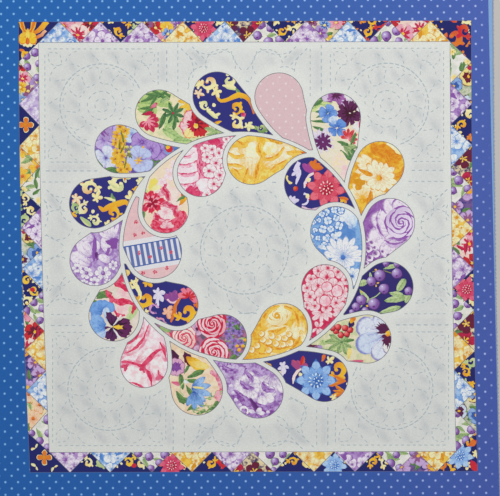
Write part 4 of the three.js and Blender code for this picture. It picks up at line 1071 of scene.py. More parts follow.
def border_print(c, name, pts, k):
    """fills one border piece; returns its ground"""
    P = np.array(pts, float)
    x, y = P.mean(0)
    x0, y0 = P.min(0)
    x1, y1 = P.max(0)
    rng = np.random.default_rng(100 + k)

    def spread(n):
        """n places well apart inside the piece"""
        near = rng.dirichlet([1.0] * len(P), 40) @ P
        picked = [near[0]]
        for _ in range(n - 1):
            picked.append(near[int(np.argmax(np.min([np.hypot(*(near - q).T) for q in picked], axis=0)))])
        return [tuple(map(float, q)) for q in picked]

    def tone(light, mid, dark, n=4, r=9.0):
        big = [(a, b, r * rng.uniform(0.8, 1.15)) for a, b in spread(n)]
        tonal(c, big, light, mid, dark, k, petals=5, kind=(PETAL, LINED)[k % 2], wide=0.46)
        for a, b in spread(2):
            petal(c, a, b, rng.uniform(0, 360), 9, 2.2, dark, mid, WASH, 0.1, 0.5, 10, 0.22)
        for a, b in spread(3):
            q = rng.uniform(2.8, 4.2)
            flower(c, a, b, q, 6, light, dark, 31 * a, wide=0.42, m=8)
            disc(c, a, b, q * 0.24, dark, dark, n=6)

    if name == "tblue":
        tone((218, 224, 230), (110, 152, 208), (78, 124, 194))
        return (BLOT, (158, 186, 218), (104, 148, 206))
    if name == "tpurp":
        tone((220, 212, 226), "purple", (130, 82, 160))
        return (BLOT, (172, 140, 194), (132, 88, 160))
    if name == "tlav":
        tone((216, 210, 226), (160, 136, 190), (146, 118, 180))
        return (BLOT, (190, 174, 208), (162, 138, 192))
    if name == "tyell":
        tone((232, 222, 176), "amber", (206, 138, 30))
        return (BLOT, (224, 188, 80), (210, 152, 42))
    if name in ("berry", "leafy"):
        for a, b in spread(6):
            leaf(c, a, b, rng.uniform(0, 360), rng.uniform(9, 13), 2.8, "pgreen", (70, 116, 78))
        if name == "berry":
            for a, b in spread(5):
                berry(c, a, b, rng.uniform(3.8, 5.2), (182, 160, 208), (122, 78, 152))
        else:
            for a, b in spread(5):
                leaf(c, a, b, rng.uniform(0, 360), rng.uniform(9, 13), 2.4, "green", (40, 84, 58))
            for a, b in spread(3):
                flower(c, a, b, 3.6, 6, "butter", "yellow", 0, m=8)
        return (BLOT, (220, 216, 212), (200, 204, 192))
    if name.startswith("navy") or name.startswith("lotus") or name.startswith("corner"):
        tones = {"navyG": ("gold", "cream", "gold", "pgreen"), "navyC": ("cream", "cream", "gold", "cream"), "navyR": ("cream", "orange", "gold", "red"),
                 "navyO": ("orange", "cream", "gold", "cream"), "navyL": ("pgreen", "green", "cream", "pgreen"), "navyQ": ("orange", "cream", "orange", "cream"),
                 "navyY": ("gold", "cream", "yellow", "cream"), "cornerTL": ("gold", "cream", "gold", "cream"), "cornerTR": ("orange", "gold", "red", "cream"),
                 "cornerBR": ("cream", "orange", "cream", "gold"), "cornerBL": ("orange", "cream", "orange", "cream")}.get(name, ("cream", "gold", "cream", "cream"))
        if name not in ("cornerTL", "cornerBL", "navyQ"):
            navy_print(c, (x0 - 1, y0 - 1, x1 + 1, y1 + 1), 200 + k, tones, pitch=13.0, r=5.4)
        if name == "lotusR":
            lotus(c, x, y, 12.5, (200, 66, 100), (166, 20, 56), k * 11, (228, 196, 200), (212, 96, 124))
        if name == "lotusB":
            lotus(c, x, y, 12.0, (140, 176, 222), (76, 120, 190), k * 11, (206, 222, 238), (168, 196, 228))
        if name == "cornerBR":
            petal(c, x + 9, y + 4, 60, 12, 4.4, "red", "crimson", LINED, 0.2, 0.5, 11)
            petal(c, x + 6, y - 9, -40, 11, 3.6, "orange", "red", LINED, 0.3, 0.5, 11)
            lotus(c, x - 2, y - 1, 13, (140, 176, 222), (76, 120, 190), 9, (206, 222, 238), (168, 196, 228))
        if name in ("navyQ", "cornerBL"):
            for d in (0, 90, 180, 270):
                petal(c, x, y, d, 7.8, 3.7, "cream", "cream", WASH, 0.15, 0.35, 12)
            for d in (0, 90, 180, 270):
                petal(c, x, y, d, 7.2, 3.3, "orange", "amber", BERRY, 0.0, 0.35, 12)
            disc(c, x, y, 2.0, "orange", "amber", BERRY)
            for j, (q, long) in enumerate(((45, 13), (135, 12), (225, 13), (315, 12))):
                t = math.radians(q)
                petal(c, x + long * math.cos(t), y + long * math.sin(t), q + 70, 5.2, 1.7, "cream", "pgreen", WASH, 0.3, 0.5, 9)
                petal(c, x + long * math.cos(t), y + long * math.sin(t), q - 60, 4.6, 1.5, "cream", "gold", WASH, 0.3, 0.5, 9)
        if name == "cornerTL":
            # a palmette with curling leaves
            px, py = x - 6.0, y - 2.5
            for turn, pts in ((0, ((4, -1), (9, -3), (14, -7), (19, -13))), (1, ((5, 4), (10, 2.5), (14, 0), (18, -4)))):
                stroke(c, curve([(px + u, py + w) for u, w in pts], 12), 1.2, 2.7 - 1.2 * turn, "orange", "gold" if turn == 0 else "peach", WASH, ramp(px + 11, py - 5, -40, 8, 0.4), 0.5)
            for sx in (-1, 1):
                stroke(c, curve([(px + sx * 2, py - 1), (px + sx * 4.6, py - 6), (px + sx * 6.5, py - 13)], 10), 1.9, 2.5, "gold", "gold")
                stroke(c, curve([(px + sx * 2, py - 1), (px + sx * 4.6, py - 6), (px + sx * 6.5, py - 13)], 10), 0.9, 1.5, "orange", "amber")
            for j in (-2, -1, 0, 1, 2):
                disc(c, px + 3.1 * j, py + 10.6 - 0.55 * j * j, 2.2, "cream", "cream", n=10)
            for sx in (-1, 1):
                petal(c, px + sx * 1.0, py - 3.5, 90 - sx * 24, 14.5, 5.4, (222, 184, 44), "orange", LINED, 0.1, 0.45, 14)
                petal(c, px, py - 2.0, 90 - sx * 62, 9.6, 3.0, (226, 192, 60), "orange", LINED, 0.3, 0.5, 12)
            petal(c, px, py - 6.5, 90, 12.5, 2.8, (230, 206, 90), "amber", LINED, 0.1, 0.45, 12)
            petal(c, px, py + 3.2, 90, 7.2, 2.3, "orange", "red", WASH, -0.2, 0.5, 12)
            stroke(c, curve([(px - 8, py + 15), (px - 4, py + 17), (px - 3, py + 20)], 8), 1.4, 2.0, "orange", "gold")
            petal(c, px - 6, py + 17, 75, 10, 2.6, "gold", "cream", WASH, 0.3, 0.5, 10)
            petal(c, px - 6, py + 17, 20, 8, 2.2, "gold", "orange", WASH, 0.3, 0.5, 10)
        if name == "cornerTR":
            disc(c, x, y, 14, "navyd", "navyd", n=14)
            scroll(c, x - 2, y + 1, 200, 9.5, 1, "orange", "red")
            scroll(c, x + 9, y - 6, 40, 6.5, -1, "red", "orange")
        if name in ("navyY", "cornerTR"):
            disc(c, x + 3, y, 2.4, "red", "crimson", BERRY)
        return (WASH, "navyd", "navyd")
    if name in ("pansy", "bluegr"):
        for a, b in spread(6):
            leaf(c, a, b, rng.uniform(0, 360), 11, 3.0, "green", (40, 84, 58))
        for j, (a, b) in enumerate(spread(3)):
            pansy(c, a, b, rng.uniform(8, 11), ("ice", "sky", "lemon")[(j + k) % 3], ("plum", "dblue", "maroon")[(j + k) % 3], rng.uniform(40, 140))
        q = spread(2)[1]
        flower(c, q[0], q[1], 5.5, 6, "crimson" if name == "pansy" else "sky", "maroon" if name == "pansy" else "dblue", 0, wide=0.45)
        disc(c, q[0], q[1], 1.3, "gold", "yellow", n=7)
        return (BLOT, (206, 202, 186), (150, 166, 132))
    if name in ("crims", "hibis", "pinkish"):
        for a, b in spread(4):
            leaf(c, a, b, rng.uniform(0, 360), 10, 2.8, "green", (44, 88, 56))
        for j, (a, b) in enumerate(spread(3)):
            flower(c, a, b, rng.uniform(9, 12), 5, ("blush", "red", "pink")[(j + k) % 3], ("crimson", "maroon", "crimson")[(j + k) % 3], 50 * j, wide=0.55,
                   kind=LINED if j % 2 else RAGGED, ragged=0.1)
            disc(c, a, b, 1.5, "gold", "yellow")
        for a, b in spread(3):
            petal(c, a, b, rng.uniform(0, 360), 10, 2.4, "crimson", "maroon", WASH, ragged=0.2)
        return (BLOT, (222, 202, 186), (216, 170, 176))
    if name in ("yellgr", "peachy"):
        for a, b in spread(6):
            leaf(c, a, b, rng.uniform(0, 360), 11, 3.0, "pgreen" if rng.uniform() < 0.5 else "green", (70, 112, 62))
        for j, (a, b) in enumerate(spread(3)):
            flower(c, a, b, 9, 7, "yellow" if name == "yellgr" else "peach", "orange", 40 * j, wide=0.36, point=0.2, kind=LINED)
            disc(c, a, b, 1.8, "orange", "maroon")
        return (BLOT, (222, 206, 166), (214, 190, 140))
    if name == "mauve":
        for a, b in spread(4):
            leaf(c, a, b, rng.uniform(0, 360), 10, 2.6, "green", (40, 84, 58))
        for j, (a, b) in enumerate(spread(3)):
            flower(c, a, b, rng.uniform(8, 11), 5, (186, 160, 204), "mauve", 30 * j, wide=0.55, kind=LINED if j % 2 else RAGGED, ragged=0.1)
            disc(c, a, b, 1.6, "gold", "yellow")
        q = spread(2)[1]
        scroll(c, q[0], q[1], rng.uniform(0, 360), 5, 1, "gold", "orange")
        return (BLOT, (110, 84, 140), "navy")
    if name == "maroon":
        for a, b in spread(3):
            leaf(c, a, b, rng.uniform(0, 360), 10, 2.6, "green", (40, 84, 58))
        for j, (a, b) in enumerate(spread(3)):
            q = rng.uniform(8.5, 10.5)
            flower(c, a, b, q, 5, ("plum", "maroon", "crimson")[(j + k) % 3], ("maroon", "plum", "maroon")[(j + k) % 3], 40 * j, wide=0.56, kind=PETAL)
            flower(c, a, b, q * 0.42, 5, "yellow", "orange", 40 * j + 36, wide=0.26, kind=WASH)
        return (BLOT, (216, 200, 160), (60, 44, 96))
    # mixed: small mixed blossoms on cream
    for a, b in spread(7):
        leaf(c, a, b, rng.uniform(0, 360), 10, 2.8, "green" if rng.uniform() < 0.6 else "pgreen", (44, 86, 56))
    cols = (("red", "maroon"), ("sky", "dblue"), ("yellow", "amber"), ("mauve", "maroon"), ("pink", "crimson"), ("lav", "purple"))
    for j, (a, b) in enumerate(spread(6)):
        la, lb = cols[(j * 5 + k) % 6] if name == "mixed" else cols[(3, 0, 4, 3, 2)[(j + k) % 5]]
        flower(c, a, b, rng.uniform(6, 9), 5, la, lb, 50 * j, wide=0.54, kind=RAGGED if j % 2 else LINED, ragged=0.08)
        disc(c, a, b, 1.3, "lemon", "gold")
    return (BLOT, (222, 208, 178), (196, 190, 150))


def shrink(P, d):
    """a convex outline drawn in by d"""
    P = np.asarray(P, float)
    c = P.mean(0)
    n = len(P)
    out = []
    lines = []
    for k in range(n):
        a, b = P[k], P[(k + 1) % n]
        t = (b - a) / np.hypot(*(b - a))
        nrm = np.array([-t[1], t[0]])
        if np.dot(nrm, c - a) < 0:
            nrm = -nrm
        lines.append((a + nrm * d, t))
    for k in range(n):
        (a, t), (b, s) = lines[k - 1], lines[k]
        den = t[0] * s[1] - t[1] * s[0]
        if abs(den) < 1e-3:
            out.append(b)
            continue
        w = ((b - a)[0] * s[1] - (b - a)[1] * s[0]) / den
        out.append(a + t * w)
    return np.array(out)


# ------------------------------------------------------------------ the printed quilting
FEATHER_BLOCKS = [(101.5, 105.5, 0.945), (387, 104.8, 0.945), (244.5, 250, 1.0), (109.2, 389, 0.94), (392, 388.5, 0.93)]
SQUARE_BLOCKS = [(244, 105), (98.5, 248.2), (395.5, 247.6), (250.5, 390.5)]
DASHES, STREAKS = [], []         # (x, y, turn, half length, half width, depth), (x, y, turn, long, wide, depth)


def dashes(pts, dash=4.0, gap=3.4, half=0.52, depth=1.0, start=0.0, closed=False, seed=0):
    gap, half = gap * 0.60, half * 0.86
    p = np.asarray(pts, float)
    if closed:
        p = np.vstack([p, p[:1]])
    seg = np.hypot(*np.diff(p, axis=0).T)
    s = np.concatenate([[0], np.cumsum(seg)])
    total = s[-1]
    n = max(1, int(round(total / (dash + gap)))) if closed else max(1, int(total / (dash + gap)))
    step = total / n if closed else dash + gap
    for k in range(n):
        wob = math.sin(12.9898 * (k + 1 + seed) + 4.1 * p[0][0])
        mid = start + (k + 0.5) * step + 0.25 * wob
        if mid > total - 0.5:
            break
        x, y = np.interp(mid, s, p[:, 0]), np.interp(mid, s, p[:, 1])
        x2, y2 = np.interp(min(mid + 1.2, total), s, p[:, 0]), np.interp(min(mid + 1.2, total), s, p[:, 1])
        x1, y1 = np.interp(max(mid - 1.2, 0), s, p[:, 0]), np.interp(max(mid - 1.2, 0), s, p[:, 1])
        DASHES.append((x, y, math.atan2(y2 - y1, x2 - x1) + 0.05 * wob, dash / 2 * (1 + 0.10 * wob), half, depth))


def ring(x, y, r, n=60, a0=0.0, a1=360.0):
    t = np.radians(np.linspace(a0, a1, n, endpoint=a1 - a0 < 359))
    return np.stack([x + r * np.cos(t), y + r * np.sin(t)], 1)


def feather_block(x, y, f, k):
    """a rosette of two rings, eleven petals inside the big ring and fourteen leaning ones outside it"""
    first = len(DASHES)
    dashes(ring(x, y, 6.9 * f, 30, 20, 380), 3.8, 4.6, closed=True, seed=k)
    dashes(ring(x, y, 15.0 * f, 50, 5 + 3 * k, 365 + 3 * k), 4.2, 4.8, closed=True, seed=k)
    dashes(ring(x, y, 44.0 * f, 90), 5.0, 1.3, 0.62, 1.2, closed=True, seed=k)
    STREAKS.append((x + 2.6, y - 1.0, 65, 4.4, 3.0, 0.5))
    s = np.linspace(0, 1, 16)
    for j in range(11):
        a0 = 360 / 11 * j - 130 + 2.5 * math.sin(2.1 * j + k)
        th = np.radians(a0 - 3 + 360 / 11 * s)
        r = f * (25.8 - 2.8 * np.sin(np.pi * s))
        dashes(np.stack([x + r * np.cos(th), y + r * np.sin(th)], 1), 3.6, 3.4, 0.5, 1.0, start=0.6, seed=j)
        th, r = np.radians(a0 + 7 * s), f * (26.8 + 12.5 * s)
        dashes(np.stack([x + r * np.cos(th), y + r * np.sin(th)], 1), 4.0, 3.0, 0.5, 1.0, seed=j)
        th = np.radians(a0 + 8 + 360 / 11 * s)
        r = f * (37.0 + 4.2 * np.sin(np.pi * s) ** 0.6)
        dashes(np.stack([x + r * np.cos(th), y + r * np.sin(th)], 1), 3.4, 5.2, 0.46, 0.9, start=1.6, seed=j)
        t = math.radians(a0 + 16)
        deg = 58 + 22 * math.sin(2 * t - 0.35)
        STREAKS.append((x + f * (3.4 + 31.5 * math.cos(t)), y + f * (31.5 * math.sin(t) - 1.0), deg, 6.8, 3.0, 0.60))
    for j in range(14):
        a0 = 360 / 14 * j - 92.5
        th, r = np.radians(a0 - 13 * s), f * (46 + 14 * s)
        dashes(np.stack([x + r * np.cos(th), y + r * np.sin(th)], 1), 4.0, 3.4, 0.5, 1.0, seed=j)
        th = np.radians(a0 - 13 + 360 / 14 * s)
        r = f * (58 + 5.5 * np.sin(np.pi * s) ** 0.7)
        dashes(np.stack([x + r * np.cos(th), y + r * np.sin(th)], 1), 3.8, 4.2, 0.48, 0.95, start=1.4, seed=j)
        t = math.radians(a0 - 11)
        STREAKS.append((x + f * (2.6 + 53.0 * math.cos(t)), y + f * 53.0 * math.sin(t), 50 + 18 * math.sin(2 * t - 0.5), 8.0, 3.2, 0.58))
    if f < 1:
        # the corner rosettes sit in a square of stitches, with a small leaf in each of its corners
        DASHES[first:] = [d for d in DASHES[first:] if max(abs(d[0] - x), abs(d[1] - y)) < 54.2]
        for sx, sy in ((-1, -1), (1, -1), (1, 1), (-1, 1)):
            dashes([(x + sx * 56.6, y + sy * 56.6), (x - sy * 56.6, y + sx * 56.6)], 3.8, 3.6, 0.5, 1.0, start=1.5, seed=k)
            for turn in (-1, 1):
                q = np.linspace(0, 1, 10)
                a, b = 40.0 + 13 * q, 4.4 * turn * np.sin(np.pi * q)
                dashes(np.stack([x + sx * a - sy * b, y + sy * a + sx * b], 1), 3.4, 3.4, 0.46, 0.9, start=1.0, seed=k)


def square_block(x, y, k):
    """two squares of stitches round a wheel, with round lobes and shallow swags"""
    for half, strong in ((77.3, True), (66.2, False)):
        for sx, sy in ((-1, -1), (1, -1), (1, 1), (-1, 1)):
            dashes([(x + sx * half, y + sy * half), (x - sy * half, y + sx * half)],
                   4.4 if strong else 3.8, 4.2, 0.66 if strong else 0.5, 1.3 if strong else 1.0, start=2.0, seed=k)
    for sx in (-1, 1):
        for j in range(9):
            STREAKS.append((x + sx * 77.3 - 3.8, y - 70 + 17.5 * j, 90, 10, 2.6, 0.36))
            STREAKS.append((x - 70 + 17.5 * j, y + sx * 77.3 - 3.6, 0, 10, 2.4, 0.28))
    for q in (45, 135, 225, 315):
        t = math.radians(q)
        cx, cy = math.cos(t), math.sin(t)
        for off in (-4.6, 4.6):
            dashes([(x + cx * 106 - cy * off, y + cy * 106 + cx * off), (x + cx * 54 - cy * off, y + cy * 54 + cx * off)], 4.2, 4.0, 0.56, 1.1, seed=q)
        for j in range(4):
            r = 98 - 13 * j
            STREAKS.append((x + cx * r + 0.8, y + cy * r - 0.6, q, 9, 3.2, 0.48))
        for lobe in (-15, 15):
            t = math.radians(q + lobe)
            lx, ly = x + 46.8 * math.cos(t), y + 46.8 * math.sin(t)
            dashes(ring(lx, ly, 15.0, 40, 10 * k, 360 + 10 * k), 4.0, 3.4, 0.5, 1.0, closed=True, seed=q)
            STREAKS.append((lx + 5.0, ly - 2.0, 52, 8.4, 3.4, 0.46))
    s = np.linspace(0, 1, 16)
    for sx, sy in ((0, -1), (1, 0), (0, 1), (-1, 0)):
        for side in (-1, 1):
            a, b = side * (14 + 40 * s), 57.5 - 7.0 * np.sin(np.pi * s)
            dashes(np.stack([x + sx * b - sy * a, y + sy * b + sx * a], 1), 4.0, 3.6, 0.5, 1.0, start=0.8, seed=k)
            a, b = side * (13 * np.cos(0.5 * np.pi * s)), 56 - 24 * s
            dashes(np.stack([x + sx * b - sy * a, y + sy * b + sx * a], 1), 3.8, 3.8, 0.5, 1.0, start=0.8, seed=k)
    for j in range(12):
        t = math.radians(30 * j + 15)
        dashes([(x + 31 * math.cos(t), y + 31 * math.sin(t)), (x + 24 * math.cos(t), y + 24 * math.sin(t))], 3.8, 4.0, 0.5, 1.0, seed=j)
    dashes(ring(x, y, 24, 50), 4.0, 3.8, closed=True)


# ------------------------------------------------------------------ triangulation
def cdt(points, faces, edges=(), eps=1e-5):
    """constrained triangulation of design points; each triangle knows the last face that holds it"""
    vecs = [Vector((float(x), -float(y))) for x, y in points]
    v, _, f, _, _, of = delaunay_2d_cdt(vecs, list(edges), faces, 1, eps, True)
    P = np.array([(q.x, -q.y) for q in v])
    tri = np.array([t for t in f if len(t) == 3], int)
    own = [o for t, o in zip(f, of) if len(t) == 3]
    return P, tri, own


def facing(poly):
    """the outline with its inside on the left, as the triangulation wants it"""
    q = np.asarray(poly, float)
    return q[::-1] if np.sum(q[:, 0] * np.roll(q[:, 1], -1) - q[:, 1] * np.roll(q[:, 0], -1)) > 0 else q


def inside(poly, q):
    """which of the points q lie inside the outline, by winding"""
    a, b = poly, np.roll(poly, -1, axis=0)
    cross = (b[:, 0] - a[:, 0]) * (q[:, 1:2] - a[:, 1]) - (q[:, 0:1] - a[:, 0]) * (b[:, 1] - a[:, 1])
    up = (a[:, 1] <= q[:, 1:2]) & (b[:, 1] > q[:, 1:2]) & (cross > 0)
    down = (a[:, 1] > q[:, 1:2]) & (b[:, 1] <= q[:, 1:2]) & (cross < 0)
    return up.sum(1) != down.sum(1)


def fill(outline, ground, shapes, tol=0.035):
    """one printed piece: its triangles with their paints, and the edges where the paint changes"""
    lo, hi = np.min(outline, 0), np.max(outline, 0)
    polys = [(np.asarray(outline, float), ground)]
    polys += [(np.asarray(q, float), paint) for q, paint in shapes if (np.max(q, 0) > lo).all() and (np.min(q, 0) < hi).all()]
    pts, ties, paints = [], [], []
    for poly, paint in polys:
        k, n = len(pts), len(poly)
        ties += [(k + j, k + (j + 1) % n) for j in range(n)]
        pts.extend(map(tuple, poly))
        paints.append(paint)
    vecs = [Vector((float(x), -float(y))) for x, y in pts]
    v, _, f, _, _, _ = delaunay_2d_cdt(vecs, ties, [], 0, 2e-3, True)
    P = np.array([(q.x, -q.y) for q in v])
    tri = np.array([t for t in f if len(t) == 3], int)
    mid = P[tri].mean(1)
    own = np.full(len(tri), -1)
    own[inside(polys[0][0], mid)] = 0
    for k, (poly, _) in enumerate(polys[1:], 1):
        a, b = poly.min(0), poly.max(0)
        near = np.nonzero((own >= 0) & (mid >= a).all(1) & (mid <= b).all(1))[0]
        own[near[inside(poly, mid[near])]] = k
    tri, own = tri[own >= 0], own[own >= 0].tolist()
    side = {}
    for (i, j, k), o in zip(tri.tolist(), own):
        for e in ((i, j), (j, k), (k, i)):
            side.setdefault((min(e), max(e)), []).append(o)
    near = {}
    for (i, j), o in side.items():
        if len(o) == 1 or o[0] != o[1]:
            near.setdefault(i, set()).add(j)
            near.setdefault(j, set()).add(i)
    # points in the middle of a straight run aren't needed
    for i in sorted(near):
        n = near[i]
        if len(n) != 2:
            continue
        a, b = n
        d = P[b] - P[a]
        L = math.hypot(*d)
        w = P[i] - P[a]
        if L > 1e-6 and b not in near[a] and abs(w[0] * d[1] - w[1] * d[0]) / L < tol:
            near[a].discard(i)
            near[b].discard(i)
            near[a].add(b)
            near[b].add(a)
            near[i] = set()
    edges = [(i, j) for i in near for j in near[i] if i < j]
    return P, tri, np.array([paints[o] for o in own]), edges


def thin(poly):
    """drops points that nearly coincide with the one before"""
    poly = np.asarray(poly, float)
    d = np.hypot(*(poly - np.roll(poly, 1, axis=0)).T)
    return poly[d > 0.02]


def smooth(a, b, x):
    t = np.clip((x - a) / (b - a), 0, 1)
    return t * t * (3 - 2 * t)


PRINTS = {"o1": print_o1, "o2": print_o2, "o3": print_o3, "o4": print_o4, "o5": print_o5, "o6": print_o6, "o7": print_o7, "o8": print_o8,
          "o9": print_o9, "o10": print_o10, "o11": print_o11, "o12": print_o12, "o13": print_o13, "o14": print_o14, "o15": print_o15, "o16": print_o16,
          "ia": print_ia, "ib": print_ib, "ic": print_ic, "id": print_id, "ie": print_ie, "if": print_if, "ig": print_ig, "ih": print_ih,
          "ii": print_ii, "ij": print_ij}
DOT_PITCH = 12.65


def lattice(x, y):
    """square lattice of pin dots with one more in the middle of each square"""
    X, Y = x - 45.5 - 0.009 * (y - 20), y - 20.3 + 0.004 * (x - 45)
    return (X + Y) / DOT_PITCH, (X - Y) / DOT_PITCH


Z = 1.0 / DOT_PITCH
DOT_MAP = np.array([[Z, Z, -(45.5 + 20.3) * Z], [Z, -Z, -(45.5 - 20.3) * Z]])

# (outline of the printed line or None, outline of the cloth, ground paint, shapes)
pieces, feather_shapes = [], []
for rows, side in ((OUTER, 1), (INNER, -1)):
    for i, row in enumerate(rows):
        outer, inner = patch_outlines(rows, i, side, (0.0, 0.62))
        c = Print()
        PRINTS[row[0]](c)
        kind, a, b = GROUNDS[row[0]]
        pieces.append((thin(outer), thin(inner), c.paint(kind, a, b, DOT_MAP if kind == DOTS else None), c.shapes))
        feather_shapes.append(thin(outer))
border = []
for k, (pts, name) in enumerate(border_pieces()):
    c = Print()
    kind, a, b = border_print(c, name, pts, k)
    border.append((None, shrink(pts, 0.24), c.paint(kind, a, b), c.shapes))

LINE_PAINT = Print().paint(WASH, LINE, LINE)
GROUND_PAINT = Print().paint(WASH, (210, 212, 208), (179, 184, 187))
BLUE_PAINT = Print().paint(DOTS, "blue", "white")
LOOM_PAINT = Print().paint(WASH, (122, 158, 200), (176, 196, 212))
DASH_PAINT = Print().paint(WASH, (162, 174, 180), (186, 194, 198))

# outline of the cloth, and the unprinted strip along its loom edge
M = 88
up = np.linspace(0, 1, M, endpoint=False)
rim = np.vstack([cloth_point(up, 0 * up), cloth_point(0 * up + 1, up), cloth_point(1 - up, 0 * up + 1), cloth_point(0 * up, 1 - up)])
rim = to_design(rim)
print_end = lambda y: 489.0 + 4.5 * (y - 30) / 200 - 0.15 * math.sin(math.pi * y / 490)
strip = [(print_end(y), y) for y in np.linspace(-20, 515, 40)]
strip += [(x + 14, y) for x, y in strip[::-1]]
frame_quad = ([(x, OUT_T(x)) for x in np.linspace(OUT_L(22), OUT_R(20.4), 24)] + [(OUT_R(y), y) for y in np.linspace(30, 462, 24)]
              + [(x, OUT_B(x)) for x in np.linspace(OUT_R(471.4), OUT_L(472.5), 24)] + [(OUT_L(y), y) for y in np.linspace(462, 30, 24)])
inner_quad = ([(x, IN_T(x) + 0.2) for x in np.linspace(IN_L(42.6), IN_R(41.6), 24)] + [(IN_R(y) - 0.2, y) for y in np.linspace(52, 442, 24)]
              + [(x, IN_B(x) - 0.2) for x in np.linspace(IN_R(451.2), IN_L(452.4), 24)] + [(IN_L(y) + 0.2, y) for y in np.linspace(442, 52, 24)])

for k, (x, y, f) in enumerate(FEATHER_BLOCKS):
    feather_block(x, y, f, k)
for k, (x, y) in enumerate(SQUARE_BLOCKS):
    square_block(x, y, k)
DASHES = np.array(DASHES)
STREAKS = np.array(STREAKS)


def clear_of_wreath(X, Y):
    """distance outside the feathers"""
    d = np.full(X.shape, 1e9)
    for row in OUTER + INNER:
        d = np.minimum(d, feather_field(row, X, Y, 26))
    return d


def inside_ground(X, Y):
    """distance in from the border's inner edge"""
    return np.minimum(np.minimum(X - (IN_L(Y)), IN_R(Y) - X), np.minimum(Y - IN_T(X), IN_B(X) - Y))


def quilt_shade(X, Y):
    """how deep the printed shadow of the quilting is, 0 to 1"""
    g = np.zeros(X.shape)
    for x, y, deg, long, wide, depth in STREAKS:
        near = (np.abs(X - x) < 3 * long) & (np.abs(Y - y) < 3 * long)
        t = math.radians(deg)
        a = ((X[near] - x) * math.cos(t) + (Y[near] - y) * math.sin(t)) / long
        b = (-(X[near] - x) * math.sin(t) + (Y[near] - y) * math.cos(t)) / wide
        g[near] += depth * np.exp(-a * a - b * b)
    low = 0.10 * np.sin(X / 9.1 + 1.3 * np.sin(Y / 13.0)) * np.sin(Y / 7.7 + 1.1 * np.sin(X / 11.0))
    fade = smooth(4.5, 13, clear_of_wreath(X, Y)) * smooth(4.5, 11, inside_ground(X, Y))
    return np.clip(0.85 * g + low + 0.20, 0, 1.3) * fade


# ---- everything in one plane
pts, faces, paints = [], [], []


def put(poly, paint):
    faces.append(list(range(len(pts), len(pts) + len(poly))))
    pts.extend(map(tuple, facing(poly)))
    paints.append(paint)


put(rim, BLUE_PAINT)
put(strip, LOOM_PAINT)
put(frame_quad, LINE_PAINT)
put(inner_quad, GROUND_PAINT)
ok = (clear_of_wreath(DASHES[:, 0], DASHES[:, 1]) > 5.4) & (inside_ground(DASHES[:, 0], DASHES[:, 1]) > 3.3)
for x, y, t, hl, hw, depth in DASHES[ok]:
    # a lens with blunt ends
    q = np.array([(-1, 0), (-0.6, 1), (0.6, 1), (1, 0), (0.6, -1), (-0.6, -1)]) * (hl, hw)
    put(turned(q[:, 0], q[:, 1], x, y, t), DASH_PAINT)
n_flat = len(faces)
for outer, inner, ground, shapes in border + pieces:
    if outer is not None:
        put(outer, LINE_PAINT)
under_v, under_t, under_paint, edges = [], [], [], []
n_print = len(faces)
for outer, inner, ground, shapes in border + pieces:
    P, tri, paint, lines = fill(inner, ground, shapes)
    base = sum(map(len, under_v))
    under_v.append(P)
    under_t.append(tri + base)
    under_paint.append(paint)
    used = sorted({i for e in lines for i in e})
    place = {i: len(pts) + k for k, i in enumerate(used)}
    pts.extend(map(tuple, P[used]))
    edges.extend((place[i], place[j]) for i, j in lines)
    put(inner, -1)
# loose points that keep the cloth's triangles small
gx, gy = np.meshgrid(np.arange(40, 456, 3.1), np.arange(44, 452, 3.1))
gx = gx + 0.5 * (np.round((gy - 44) / 3.1) % 2) * 3.1
gx, gy = gx.ravel(), gy.ravel()
good = (inside_ground(gx, gy) > 1.6) & (clear_of_wreath(gx, gy) > 1.4)
pts.extend(zip(gx[good], gy[good]))
bx, by = np.meshgrid(np.arange(-14, 500, 6.6), np.arange(-8, 503, 6.6))
bx, by = bx.ravel(), by.ravel()
out = (bx < OUT_L(by) - 2.5) | (bx > OUT_R(by) + 2.5) | (by < OUT_T(bx) - 2.5) | (by > OUT_B(bx) + 2.5)
from_rim = np.min(np.hypot(bx[:, None] - rim[None, :, 0], by[:, None] - rim[None, :, 1]), axis=1)
out &= (from_rim > 3.4) & (bx > rim[:, 0].min() + 2) & (bx < rim[:, 0].max()) & (by > rim[:, 1].min() + 2) & (by < rim[:, 1].max() - 2)
pts.extend(zip(bx[out], by[out]))

TOP, tris, own = cdt(pts, faces, edges, eps=1e-4)
keep = [k for k, o in enumerate(own) if 0 in o]
tris = tris[keep]
paint = np.array([paints[max(own[k])] for k in keep])
# inside the pieces, the paint is looked up in the piece's own triangles
V = np.vstack(under_v)
tree = BVHTree.FromPolygons([(x, y, 0.0) for x, y in V], np.vstack(under_t).tolist())
look = np.concatenate(under_paint)
mid = TOP[tris].mean(1)
for k in np.flatnonzero(paint < 0):
    hit = tree.find_nearest(Vector((mid[k][0], mid[k][1], 0.0)))
    paint[k] = look[hit[2]]
kept, tris = np.unique(tris, return_inverse=True)        # points outside the cloth go
TOP, tris = TOP[kept], tris.reshape(-1, 3)
print("cloth face:", len(TOP), "points", len(tris), "triangles", int(ok.sum()), "dashes")


# ------------------------------------------------------------------ the cloth's mesh
def loop_of(triangles):
    """the outer boundary, in order, inside on the left"""
    seen = {}
    for a, b, c in triangles.tolist():
        for i, j in ((a, b), (b, c), (c, a)):
            if (j, i) in seen:
                del seen[(j, i)]
            else:
                seen[(i, j)] = True
    nxt = dict(seen.keys())
    start = min(nxt)
    loop, at = [start], nxt[start]
    while at != start:
        loop.append(at)
        at = nxt[at]
    return loop


